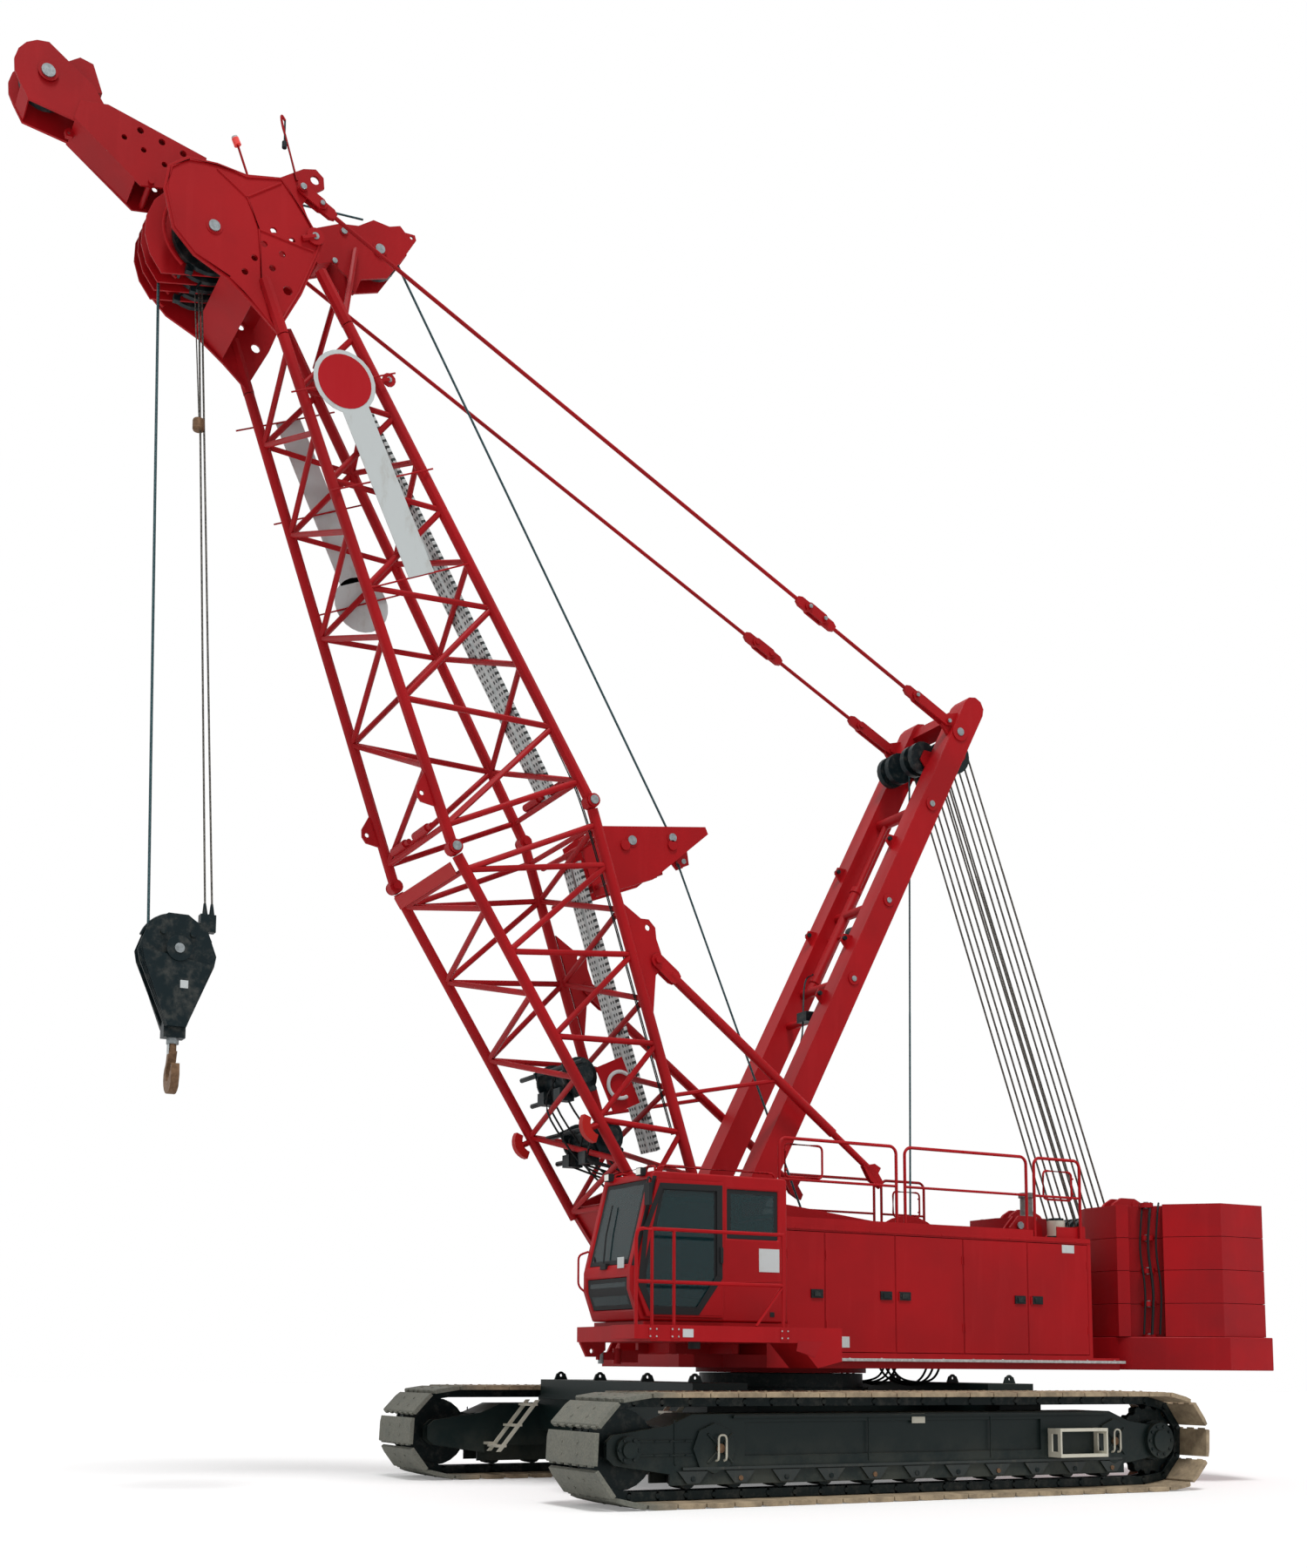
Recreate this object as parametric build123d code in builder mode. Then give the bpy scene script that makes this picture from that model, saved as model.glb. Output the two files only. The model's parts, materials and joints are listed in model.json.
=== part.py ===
from build123d import *
import math
import os

os.makedirs("parts", exist_ok=True)

# ---------------------------------------------------------------- driving sizes, mm
# +X is forward, +Y is left, +Z is up; the origin is on the ground on the slewing axis.
TRACK_LENGTH = 7950.0
TRACK_HEIGHT = 1094.0
TRACK_GAUGE = 4569.0
SHOE_WIDTH = 992.0
SHOE_COUNT = 52
SHOE_THICK = 50.0
PIN_LINE = 447.0            # radius of the chain's pins round the end wheels
CHAIN_WIDTH = 250.0
CHAIN_OUT, CHAIN_IN = 501.0, 401.0
BOOM_ANGLE = 64.85
BOOM_FOOT = (1380.0, 1900.0)
MAST_ANGLE = 117.4
MAST_FOOT = (1250.0, 2300.0)
BED_BOTTOM = 1330.0
SILL_TOP = 1470.0
DECK_TOP = 2885.0
HOUSE_HALF = 1500.0
HOUSE_FRONT = 1180.0
HOUSE_REAR = -3440.0
BAY_HALF = 980.0
WALL = 30.0
CHORD_R = 62.0
LACE_R = 33.0
PIN_R = 50.0
PIN_PLAY = 0.5
SIDES = ((1, "left"), (-1, "right"))
# number of flats on bars that are drawn as prisms
CHORD_FLATS, LACE_FLATS, WHEEL_FLATS = 8, 6, 24


# ---------------------------------------------------------------- shapes used throughout
def plate(outline, y0, y1, bores=(), cuts=(), mode=Mode.ADD):
    """A flat plate standing along X and Z, from its (x, z) outline.

    Bores are round, as (x, z, radius); cuts are inner outlines.
    """
    low, high = sorted((y0, y1))
    with BuildSketch(Plane.XZ.offset(-high)) as drawn:
        with BuildLine():
            Polyline(*outline, close=True)
        make_face()
        for x, z, radius in bores:
            with Locations((x, z)):
                Circle(radius, mode=Mode.SUBTRACT)
        for cut in cuts:
            with BuildLine():
                Polyline(*cut, close=True)
            make_face(mode=Mode.SUBTRACT)
    return extrude(drawn.sketch, amount=high - low, mode=mode)


def slab(outline, z0, z1, mode=Mode.ADD):
    """A flat plate lying along X and Y, from its (x, y) outline."""
    with BuildSketch(Plane.XY.offset(z0)) as drawn:
        with BuildLine():
            Polyline(*outline, close=True)
        make_face()
    return extrude(drawn.sketch, amount=z1 - z0, mode=mode)


def block(x0, x1, y0, y1, z0, z1, mode=Mode.ADD):
    """A box between two corners."""
    middle = ((x0 + x1) / 2, (y0 + y1) / 2, (z0 + z1) / 2)
    with Locations(middle):
        return Box(abs(x1 - x0), abs(y1 - y0), abs(z1 - z0), mode=mode)


def bar(start, end, radius, flats=LACE_FLATS, mode=Mode.ADD):
    """A straight bar between two points, drawn with a few flats; 0 flats is a true round."""
    start, end = Vector(*start), Vector(*end)
    with BuildSketch(Plane(origin=start, z_dir=end - start)) as section:
        if flats:
            RegularPolygon(radius, flats)
        else:
            Circle(radius)
    return extrude(section.sketch, amount=(end - start).length, mode=mode)


def shaft(x, z, radius, y0, y1, mode=Mode.ADD):
    """A turned pin or shaft that lies across the machine."""
    low, high = sorted((y0, y1))
    return bar((x, low, z), (x, high, z), radius, 0, mode)


def wheel(x, z, radius, y0, y1, flats=WHEEL_FLATS, mode=Mode.ADD):
    """A wheel or drum that lies across the machine, drawn with a few flats."""
    low, high = sorted((y0, y1))
    return bar((x, low, z), (x, high, z), radius, flats, mode)


def mirrored(outline):
    return [(-x, z) for x, z in outline]


def round_points(centre, radius, first, last, count):
    """Points of an arc about a centre, from the first angle to the last, in degrees."""
    angles = [math.radians(first + (last - first) * k / count) for k in range(count + 1)]
    return [(centre[0] + radius * math.cos(a), centre[1] + radius * math.sin(a)) for a in angles]


def link_outline(p, q, radius, steps=4):
    """A link: two round ends joined by straight sides."""
    lean = math.degrees(math.atan2(q[1] - p[1], q[0] - p[0]))
    return (round_points(q, radius, lean - 90, lean + 90, steps)
            + round_points(p, radius, lean + 90, lean + 270, steps))


def save(part, name):
    part.label = name
    export_step(part, f"parts/{name}.step")


# ================================================================ crawlers
TRACK_Y = TRACK_GAUGE / 2
END_R = TRACK_HEIGHT / 2
STRAIGHT = TRACK_LENGTH - TRACK_HEIGHT
IDLER_X = STRAIGHT / 2
PITCH = (2 * STRAIGHT + 2 * math.pi * PIN_LINE) / SHOE_COUNT
FIRST_PIN = 0.35            # where the first pin stands behind the front end, in pitches
SHOE_REACH = END_R - PIN_LINE


def pin(k):
    """Centre of a chain pin, counted backwards along the top run from the front."""
    arc = math.pi * PIN_LINE
    along = ((k + FIRST_PIN) * PITCH) % (2 * STRAIGHT + 2 * arc)
    if along < STRAIGHT:
        return (IDLER_X - along, END_R + PIN_LINE)
    along -= STRAIGHT
    if along < arc:
        a = math.pi / 2 + along / PIN_LINE
        return (-IDLER_X + PIN_LINE * math.cos(a), END_R + PIN_LINE * math.sin(a))
    along -= arc
    if along < STRAIGHT:
        return (-IDLER_X + along, END_R - PIN_LINE)
    a = (along - STRAIGHT) / PIN_LINE - math.pi / 2
    return (IDLER_X + PIN_LINE * math.cos(a), END_R + PIN_LINE * math.sin(a))


# profile of a shoe between its two pins: part of the pitch, distance out from the pin line
SHOE_PROFILE = [(0.02, 62.0), (0.02, SHOE_REACH), (0.74, SHOE_REACH), (0.98, 84.0), (0.98, 62.0)]


def shoe_line():
    """The outer edge of the whole track: flat shoes, open to each other at their joints."""
    points = []
    for k in range(SHOE_COUNT):
        (x0, z0), (x1, z1) = pin(k), pin(k + 1)
        length = math.hypot(x1 - x0, z1 - z0)
        out_x, out_z = (z1 - z0) / length, (x0 - x1) / length
        points += [(x0 + (x1 - x0) * part + out_x * out, z0 + (z1 - z0) * part + out_z * out)
                   for part, out in SHOE_PROFILE]
    return points


def shoe_bed():
    """The inner face of the shoes, with a corner at each joint that turns."""
    points = []
    for k in range(SHOE_COUNT):
        before, here, after = pin(k - 1), pin(k), pin(k + 1)
        headings = [math.atan2(b[1] - a[1], b[0] - a[0]) for a, b in ((before, here), (here, after))]
        turn = (headings[1] - headings[0] + math.pi) % (2 * math.pi) - math.pi
        if abs(turn) < 1e-6:
            continue
        out = headings[0] + turn / 2 - math.pi / 2
        reach = (SHOE_REACH - SHOE_THICK) / math.cos(turn / 2)
        points.append((here[0] + reach * math.cos(out), here[1] + reach * math.sin(out)))
    return points


def oval(radius, steps=12):
    """The outline of a belt round both end wheels."""
    return (round_points((-IDLER_X, END_R), radius, 90, 270, steps)
            + round_points((IDLER_X, END_R), radius, -90, 90, steps))


for side, word in SIDES:
    y = side * TRACK_Y
    with BuildPart() as track:
        plate(shoe_line(), y - SHOE_WIDTH / 2, y + SHOE_WIDTH / 2, cuts=[shoe_bed()])
        plate(oval(CHAIN_OUT), y - CHAIN_WIDTH / 2, y + CHAIN_WIDTH / 2, cuts=[oval(CHAIN_IN)])
    save(track.part, f"track_{word}")

# the long side frame of each crawler: distances across from the track's middle
FRAME_INNER, FRAME_OUTER = -330.0, 210.0
FRAME_IN = TRACK_Y + FRAME_INNER
FRAME_OUT = TRACK_Y + FRAME_OUTER
CHEEK = 25.0
FRAME_SIDE = [(2880, 385), (2990, 520), (2990, 760), (2700, 880), (-2700, 880), (-2960, 780),
              (-2990, 600), (-2880, 385)]
END_CHEEK = [(2900, 300), (3560, 400), (3640, 470), (3640, 620), (3560, 690), (2900, 780)]
PAD_X, PAD_Z, PAD_R = (2460.0, -2740.0), 550.0, 245.0
for side, word in SIDES:
    with BuildPart() as track_frame:
        plate(FRAME_SIDE, side * FRAME_IN, side * FRAME_OUT)
        # a shallow panel is left between the flanges of the outer face
        plate([(2100, 470), (2100, 800), (-1700, 800), (-1700, 470)], side * (FRAME_OUT - 30),
              side * (FRAME_OUT + 1), mode=Mode.SUBTRACT)
        # cheeks that hold the idler at the front and the drive at the rear
        for lip in (FRAME_INNER, -195.0, 150.0, FRAME_OUTER - CHEEK):
            for outline in (END_CHEEK, mirrored(END_CHEEK)):
                plate(outline, side * (TRACK_Y + lip), side * (TRACK_Y + lip + CHEEK))
        # rails for the rollers, under the frame
        for lip0, lip1 in ((-215.0, -185.0), (185.0, FRAME_OUTER)):
            block(-2900, 2950, side * (TRACK_Y + lip0), side * (TRACK_Y + lip1), 200, 390)
        # jacking pads with eight sides, and the ledge along the outer face
        for x in PAD_X:
            wheel(x, PAD_Z, PAD_R, side * (FRAME_OUT - 5), side * (FRAME_OUT + 28), 8)
        block(-2650, 2250, side * FRAME_OUT, side * (FRAME_OUT + 40), 838, 862)
        # pair of bolted guide rails of the track tensioner
        for z in (490, 625):
            block(2700, 3450, side * (FRAME_OUT - 8), side * (FRAME_OUT + 16), z - 9, z + 9)
    save(track_frame.part, f"track_frame_{word}")

# rollers under the frame, eleven a side
ROLLER_COUNT, ROLLER_PITCH, ROLLER_R, ROLLER_HALF = 11, 540.0, 110.0, 118.0
ROLLER_Z = END_R - CHAIN_IN + ROLLER_R + 8
with BuildPart() as track_rollers:
    for side, word in SIDES:
        for k in range(ROLLER_COUNT):
            x = (k - (ROLLER_COUNT - 1) / 2) * ROLLER_PITCH
            y = side * TRACK_Y
            wheel(x, ROLLER_Z, ROLLER_R, y - ROLLER_HALF, y + ROLLER_HALF, 12)
            wheel(x, ROLLER_Z, 42, y - 182, y + 182, 8)
save(track_rollers.part, "track_rollers")

WHEEL_R = CHAIN_IN - 6
with BuildPart() as idlers:
    for side, word in SIDES:
        y = side * TRACK_Y
        wheel(IDLER_X, END_R, WHEEL_R, y - 60, y + 60)
        wheel(IDLER_X, END_R, 150, y - 145, y + 145, 12)
        shaft(IDLER_X, END_R, 70, y - side * 168, y + side * 148)
save(idlers.part, "idlers")

SPROCKET_TEETH = 14
# one tooth: part of its angle, drop from the tip
TOOTH = [(0.0, 42.0), (0.3, 42.0), (0.45, 0.0), (0.75, 0.0)]


def sprocket_line(x):
    step = 2 * math.pi / SPROCKET_TEETH
    return [(x + (WHEEL_R - drop) * math.cos((k + part) * step),
             END_R + (WHEEL_R - drop) * math.sin((k + part) * step))
            for k in range(SPROCKET_TEETH) for part, drop in TOOTH]


with BuildPart() as drive_sprockets:
    for side, word in SIDES:
        y = side * TRACK_Y
        plate(sprocket_line(-IDLER_X), y - 55, y + 55)
        wheel(-IDLER_X, END_R, 225, y - 145, y + 145, 16)
save(drive_sprockets.part, "drive_sprockets")

# steps: a cradle of two treads on each outer face, and a ladder from the inner face up to the axle
STEP_FRONT, STEP_REAR = -1800.0, -2480.0
with BuildPart() as frame_steps:
    for side, word in SIDES:
        low, high = side * FRAME_OUT, side * (FRAME_OUT + 200)
        for x in (STEP_FRONT - 20, STEP_REAR):
            plate([(x, 390), (x + 20, 390), (x + 20, 700), (x, 700)], low, high)
            block(x, x + 20, side * (FRAME_OUT + 60), side * (FRAME_OUT + 150), 450, 640,
                  mode=Mode.SUBTRACT)
        for z in (390, 668):
            block(STEP_REAR, STEP_FRONT, side * (FRAME_OUT + 70), high, z, z + 32)
        foot, head = 2880.0, 2380.0
        for y in (FRAME_IN - 150, FRAME_IN - 420):
            plate([(foot, 330), (foot + 60, 330), (head + 60, 930), (head, 930)], side * y,
                  side * (y + 14))
        for k in range(3):
            x, z = foot - 60 - 200 * k, 380 + 240 * k
            block(x - 10, x + 110, side * (FRAME_IN - 420), side * (FRAME_IN - 136), z, z + 26)
        block(foot - 60, foot + 40, side * (FRAME_IN - 150), side * FRAME_IN, 400, 430)
save(frame_steps.part, "frame_steps")

# ================================================================ carbody
AXLE_X, AXLE_HALF = 1900.0, 300.0
AXLE_TOP = 1170.0
RING_R = 950.0
RING_FOOT, RING_TOP = 1060.0, 1270.0
CARBODY_PLAN = [(1500, -700), (1500, 700), (900, 1150), (-900, 1150), (-1500, 700),
                (-1500, -700), (-900, -1150), (900, -1150)]
AXLE_LUGS = (-1550.0, -550.0, 550.0, 1550.0)
with BuildPart() as carbody:
    slab(CARBODY_PLAN, 480, RING_FOOT)
    for sx in (1, -1):
        # box axles that reach into the crawler frames, and their higher middle part
        block(sx * (AXLE_X - AXLE_HALF), sx * (AXLE_X + AXLE_HALF), -FRAME_IN, FRAME_IN, 560, 980)
        block(sx * (AXLE_X - AXLE_HALF), sx * (AXLE_X + AXLE_HALF + 60), -1770, 1770, 940, AXLE_TOP)
        block(sx * 1300, sx * (AXLE_X - 200), -700, 700, 560, 1040)
        for y in AXLE_LUGS:
            x = sx * (AXLE_X + 200)
            plate([(x - 85, AXLE_TOP - 2), (x + 85, AXLE_TOP - 2), (x + 55, AXLE_TOP + 70),
                   *round_points((x, AXLE_TOP + 58), 40, 30, 150, 4), (x - 55, AXLE_TOP + 70)],
                  y - 14, y + 14, [(x, AXLE_TOP + 50, 18)])
save(carbody.part, "carbody")

with BuildPart() as slew_ring:
    with BuildSketch(Plane.XZ) as section:
        with BuildLine():
            Polyline((0, RING_FOOT), (RING_R + 60, RING_FOOT), (RING_R + 60, RING_FOOT + 50),
                     (RING_R, RING_FOOT + 50), (RING_R, RING_TOP), (0, RING_TOP), close=True)
        make_face()
    revolve(section.sketch, axis=Axis.Z)
save(slew_ring.part, "slew_ring")

# ================================================================ rotating bed
# drums across the middle bay: name, x, z, drum radius
DRUMS = [("front", -1120.0, 2200.0, 330.0), ("rear", -2250.0, 2230.0, 320.0)]
DRUM_HALF, FLANGE_RISE, FLANGE_THICK = 640.0, 175.0, 40.0
NEST = (-4760.0, 3060.0)
NEST_R = 250.0
BED_REAR = -4000.0
BED_FRONT = 1900.0
BED_PLAN = [(BED_FRONT, 0), (BED_FRONT, 880), (BED_FRONT - 120, 1000), (HOUSE_FRONT + 240, 1000),
            (HOUSE_FRONT, HOUSE_HALF), (-3860, HOUSE_HALF), (-3860, 1000), (BED_REAR, 900),
            (BED_REAR, 0)]
BOOM_BRACKET = [(930, SILL_TOP), (1830, SILL_TOP), (1560, 1990), (1440, 2060), (1320, 2060),
                (1200, 1990)]
MAST_BRACKET = [(760, SILL_TOP), (1620, SILL_TOP), (1420, 2390), (1310, 2460), (1190, 2460),
                (1080, 2390)]
NEST_BRACKET = [(-3990, SILL_TOP), (-3900, SILL_TOP), (-3900, 2600), (NEST[0] + 120, 3190),
                (NEST[0] - 90, 3190), (NEST[0] - 150, 3000), (-4050, 2480), (-3990, 2300)]


def both_sides(half):
    """A closed outline from its left half, whose first and last points are on the middle line."""
    return half + [(x, -y) for x, y in reversed(half) if y > 0]


with BuildPart() as rotating_bed:
    with BuildSketch(Plane.XY.offset(RING_TOP + 6)) as seat:
        Circle(RING_R + 40)
    extrude(seat.sketch, amount=BED_BOTTOM - RING_TOP + 14)
    slab(both_sides(BED_PLAN), BED_BOTTOM, SILL_TOP)
    # cross wall behind the brackets
    block(560, 620, -BAY_HALF, BAY_HALF, SILL_TOP, 1900)
    for side, word in SIDES:
        # long beam, then the brackets of boom and mast with their pins
        block(-3980, BED_FRONT - 60, side * 560, side * 620, SILL_TOP, 1790)
        for lip in (718, 892):
            plate(BOOM_BRACKET, side * lip, side * (lip + 40))
        shaft(*BOOM_FOOT, PIN_R, side * 700, side * 950)
        for lip in (462, 618):
            plate(MAST_BRACKET, side * lip, side * (lip + 40))
        shaft(*MAST_FOOT, PIN_R, side * 450, side * 670)
        # bearing plates of the drums
        for name, x, z, radius in DRUMS:
            plate([(x - 420, SILL_TOP), (x + 420, SILL_TOP), (x + 170, z + 60), (x + 80, z + 165),
                   (x - 80, z + 165), (x - 170, z + 60)], side * (BAY_HALF - 86),
                  side * (BAY_HALF - 6))
        # arms that hold the lower nest of sheaves
        plate(NEST_BRACKET, side * 395, side * 435, [(*NEST, 45.5)])
save(rotating_bed.part, "rotating_bed")

# ================================================================ machinery housings and doors
# doors from the front: tag, front x, rear x, hinged edge
DOORS = [("0", 930.0, 419.0, "front"), ("1", 419.0, -536.0, "front"),
         ("2", -536.0, -1499.0, "rear"), ("3", -1499.0, -2454.0, "front"),
         ("4", -2454.0, -3390.0, "rear")]
DOOR_Z0, DOOR_Z1 = 1500.0, 2815.0
DOOR_GAP = 8.0
DOOR_T = 28.0
UPSTAND = 75.0
for side, word in SIDES:
    with BuildPart() as housing:
        block(HOUSE_REAR, HOUSE_FRONT, side * BAY_HALF, side * HOUSE_HALF, SILL_TOP, DECK_TOP)
        block(HOUSE_REAR + WALL, HOUSE_FRONT - WALL, side * (BAY_HALF + WALL),
              side * (HOUSE_HALF - DOOR_T - 2), SILL_TOP + WALL, DECK_TOP - WALL,
              mode=Mode.SUBTRACT)
        for tag, front, rear, hinge in DOORS:
            block(rear + 3, front - 3, side * (HOUSE_HALF - DOOR_T - 40), side * (HOUSE_HALF + 10),
                  DOOR_Z0, DOOR_Z1, mode=Mode.SUBTRACT)
        # posts just behind the doors, where their edges meet
        for x in [DOORS[0][1]] + [door[2] for door in DOORS]:
            block(max(x - 22, HOUSE_REAR + 8), x + 22, side * (HOUSE_HALF - DOOR_T - 34),
                  side * (HOUSE_HALF - DOOR_T - 6), SILL_TOP + 10, DECK_TOP - 10)
        # upstand along the deck's outer edge
        block(-2560, HOUSE_FRONT, side * (HOUSE_HALF - 60), side * (HOUSE_HALF - 6), DECK_TOP - 5,
              DECK_TOP + UPSTAND)
        # ear plates of the erecting gear on the rear of the deck
        for y in (1010, 1110):
            plate([(-2540, DECK_TOP - 5), (-2520, 3010), (-2660, 3160), (-2880, 3160),
                   (-3020, 3040), (-3020, DECK_TOP - 5)], side * y, side * (y + 30))
        shaft(-2660, 3040, 32, side * 990, side * 1160)
        block(-3420, -3300, side * 1010, side * 1440, DECK_TOP - 5, 3035)
    save(housing.part, f"housing_{word}")

for side, word in SIDES:
    for tag, front, rear, hinge in DOORS[0 if side == 1 else 1:]:
        low, high = rear + DOOR_GAP, front - DOOR_GAP
        face = side * HOUSE_HALF
        hinge_x, latch_x = (high - 9, low + 70) if hinge == "front" else (low + 9, high - 70)
        with BuildPart() as leaf:
            # pressed leaf: a flat face with its edges turned in, knuckles and the latch
            block(low, high, side * (HOUSE_HALF - DOOR_T), face, DOOR_Z0 + DOOR_GAP,
                  DOOR_Z1 - DOOR_GAP)
            block(low + 40, high - 40, side * (HOUSE_HALF - DOOR_T - 5), side * (HOUSE_HALF - 8),
                  DOOR_Z0 + 60, DOOR_Z1 - 60, mode=Mode.SUBTRACT)
            for z in (1750, 2520):
                bar((hinge_x, face, z), (hinge_x, face, z + 90), 8, 0)
            block(latch_x - 42, latch_x + 42, face, face + side * 12, 2085, 2175)
        save(leaf.part, f"door_{word}_{tag}")

# guards beside the drums: two side plates with an arched top over the front drum
GUARD_SIDE = [(560, 2800), (560, 3200)] + round_points((-1350, 2450), 680, 58, 149, 8)
with BuildPart() as bay_covers:
    block(HOUSE_REAR, -2760, -BAY_HALF + 2, BAY_HALF - 2, 2820, DECK_TOP)
    block(HOUSE_REAR, HOUSE_REAR + 40, -BAY_HALF + 2, BAY_HALF - 2, 1792, 2820)
    block(-2800, -2760, -BAY_HALF + 2, BAY_HALF - 2, 1792, 2820)
    for side, word in SIDES:
        plate(GUARD_SIDE, side * 690, side * 704)
        block(-2790, -1700, side * 690, side * (BAY_HALF - 2), 2825, 2860)
        block(450, 510, side * 690, side * (BAY_HALF - 2), 2825, 2860)
save(bay_covers.part, "bay_covers")

with BuildPart() as engine_block:
    block(HOUSE_REAR + 140, -2900, -800, 800, 1850, 2700)
    for side, word in SIDES:
        block(HOUSE_REAR + 200, -2960, side * 630, side * 700, SILL_TOP, 1850)
save(engine_block.part, "engine_block")

for name, x, z, radius in DRUMS:
    with BuildPart() as drum:
        wheel(x, z, radius, -DRUM_HALF, DRUM_HALF)
        for side, word in SIDES:
            wheel(x, z, radius + FLANGE_RISE, side * DRUM_HALF, side * (DRUM_HALF + FLANGE_THICK))
        shaft(x, z, 80, -BAY_HALF + 92, BAY_HALF - 92)
    save(drum.part, f"drum_{name}")

# deck railings, as hoops with round corners: x ends and foot of each hoop
RAILS = [(985.0, -590.0, DECK_TOP + UPSTAND), (-710.0, -2490.0, DECK_TOP + UPSTAND),
         (-2610.0, -3320.0, DECK_TOP)]
RAIL_TOP, RAIL_MIDDLE, RAIL_R, RAIL_BEND = 3820.0, 3370.0, 19.0, 90.0


def hoop(x0, x1, y, foot):
    """A bent rail: up, along and down again, with its middle rail."""
    with BuildLine() as path:
        FilletPolyline((x0, y, foot), (x0, y, RAIL_TOP), (x1, y, RAIL_TOP), (x1, y, foot),
                       radius=RAIL_BEND)
    with BuildSketch(Plane.XY.offset(foot)) as section:
        with Locations((x0, y)):
            RegularPolygon(RAIL_R, LACE_FLATS)
    sweep(section.sketch, path=path.wires()[0])
    bar((x0, y, RAIL_MIDDLE), (x1, y, RAIL_MIDDLE), RAIL_R * 0.8)


with BuildPart() as deck_rails:
    for side, word in SIDES:
        for front, rear, foot in RAILS:
            hoop(front, rear, side * (HOUSE_HALF - 33), foot + 0.5)
save(deck_rails.part, "deck_rails")

# ================================================================ counterweight
TRAY_Z0, LAYER = 1335.0, 401.0
SLAB_COUNT = 4
SLAB_PLAN = [(-4160, 560), (-4010, 830), (-4010, 1352), (-4110, 1450), (-4250, 1310),
             (-4530, 1590), (-4390, 1730), (-4860, 2200), (-5560, 2200), (-5800, 1900),
             (-5930, 1500), (-5930, 560)]
TRAY_PLAN = [(-4010, 0), (-4010, 1290), (-4120, 1480), (-4900, 2245), (-5620, 2245),
             (-5860, 1930), (-5990, 1520), (-5990, 0)]
STACK_TOP = TRAY_Z0 + LAYER * (SLAB_COUNT + 1)
with BuildPart() as counterweight_tray:
    slab(both_sides(TRAY_PLAN), TRAY_Z0, TRAY_Z0 + LAYER - 4)
    for side, word in SIDES:
        for x in (-4440, -5560):
            block(x, x + 80, side * 450, side * 530, TRAY_Z0 + LAYER - 10, 3250)
save(counterweight_tray.part, "counterweight_tray")

with BuildPart() as counterweight_slabs:
    for side, word in SIDES:
        for k in range(1, SLAB_COUNT + 1):
            z0 = TRAY_Z0 + LAYER * k
            slab([(x, side * y) for x, y in SLAB_PLAN], z0, z0 + LAYER - 6)
        # lifting ears on the top slab
        for y in (840, 1000):
            plate([(-4240, STACK_TOP - 12), (-4300, 3400), (-4420, 3470), (-4640, 3470),
                   (-4800, 3400), (-4860, STACK_TOP - 12)], side * y, side * (y + 40),
                  [(-4640, 3390, 30)])
save(counterweight_slabs.part, "counterweight_slabs")

SHEAVE_COUNT = 6
NEST_PITCH, MASTHEAD_PITCH = 120.0, 110.0
with BuildPart() as nest_sheaves:
    shaft(*NEST, 45, -450, 450)
    for k in range(SHEAVE_COUNT):
        y = (k - (SHEAVE_COUNT - 1) / 2) * NEST_PITCH
        wheel(*NEST, NEST_R, y - 28, y + 28)
save(nest_sheaves.part, "nest_sheaves")

# exhaust: a turned shell, radius and height above the deck
EXHAUST_AT = (-3120.0, 760.0)
EXHAUST_PROFILE = [(0, 0), (120, 0), (120, 300), (75, 320), (75, 540), (95, 540), (95, 600),
                   (0, 600)]
with BuildPart() as exhaust:
    with BuildSketch(Plane(origin=(*EXHAUST_AT, DECK_TOP), x_dir=(1, 0, 0),
                           z_dir=(0, -1, 0))) as section:
        with BuildLine():
            Polyline(*EXHAUST_PROFILE, close=True)
        make_face()
    revolve(section.sketch, axis=Axis(origin=(*EXHAUST_AT, DECK_TOP), direction=(0, 0, 1)))
save(exhaust.part, "exhaust")

# ================================================================ cab
CAB_Y0, CAB_Y1 = 1040.0, 2060.0
CAB_WALL = 40.0
CAB_SIDE = [(1290, 1790), (3040, 1790), (3150, 2100), (3150, 2290), (2900, 3290), (1290, 3290)]
CAB_IN = [(1330, 1830), (3010, 1830), (3108, 2110), (3108, 2280), (2868, 3250), (1330, 3250)]
DOORWAY = [(2130, 1860), (2960, 1860), (3055, 2120), (3055, 2270), (2835, 3170), (2130, 3170)]
WINDOW_REAR = [(1400, 2640), (2020, 2640), (2020, 3150), (1400, 3150)]
WINDOW_RIGHT = [(1400, 2250), (2960, 2250), (2975, 2320), (2780, 3150), (1400, 3150)]
SCREEN_CUT = [(3200, 2350), (3050, 2350), (2820, 3210), (3000, 3210)]
LOWER_CUT = [(3250, 1900), (3000, 1900), (3060, 2220), (3250, 2220)]
with BuildPart() as cab_shell:
    plate(CAB_SIDE, CAB_Y0, CAB_Y1)
    # the roof's long edges and the rear corners are rolled
    rolled = cab_shell.edges().filter_by(Axis.Y).sort_by(Axis.Z)[-2:]
    chamfer(rolled, 22)
    plate(CAB_IN, CAB_Y0 + CAB_WALL, CAB_Y1 - CAB_WALL, mode=Mode.SUBTRACT)
    for outline in (DOORWAY, WINDOW_REAR):
        plate(outline, CAB_Y1 - 60, CAB_Y1 + 10, mode=Mode.SUBTRACT)
    plate(WINDOW_RIGHT, CAB_Y0 - 10, CAB_Y0 + 60, mode=Mode.SUBTRACT)
    for outline in (SCREEN_CUT, LOWER_CUT):
        plate(outline, CAB_Y0 + 90, CAB_Y1 - 90, mode=Mode.SUBTRACT)
    block(1280, 1340, CAB_Y0 + 130, CAB_Y1 - 130, 2900, 3160, mode=Mode.SUBTRACT)
    block(2150, 2750, CAB_Y0 + 180, CAB_Y1 - 180, 3240, 3300, mode=Mode.SUBTRACT)
save(cab_shell.part, "cab_shell")


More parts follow.
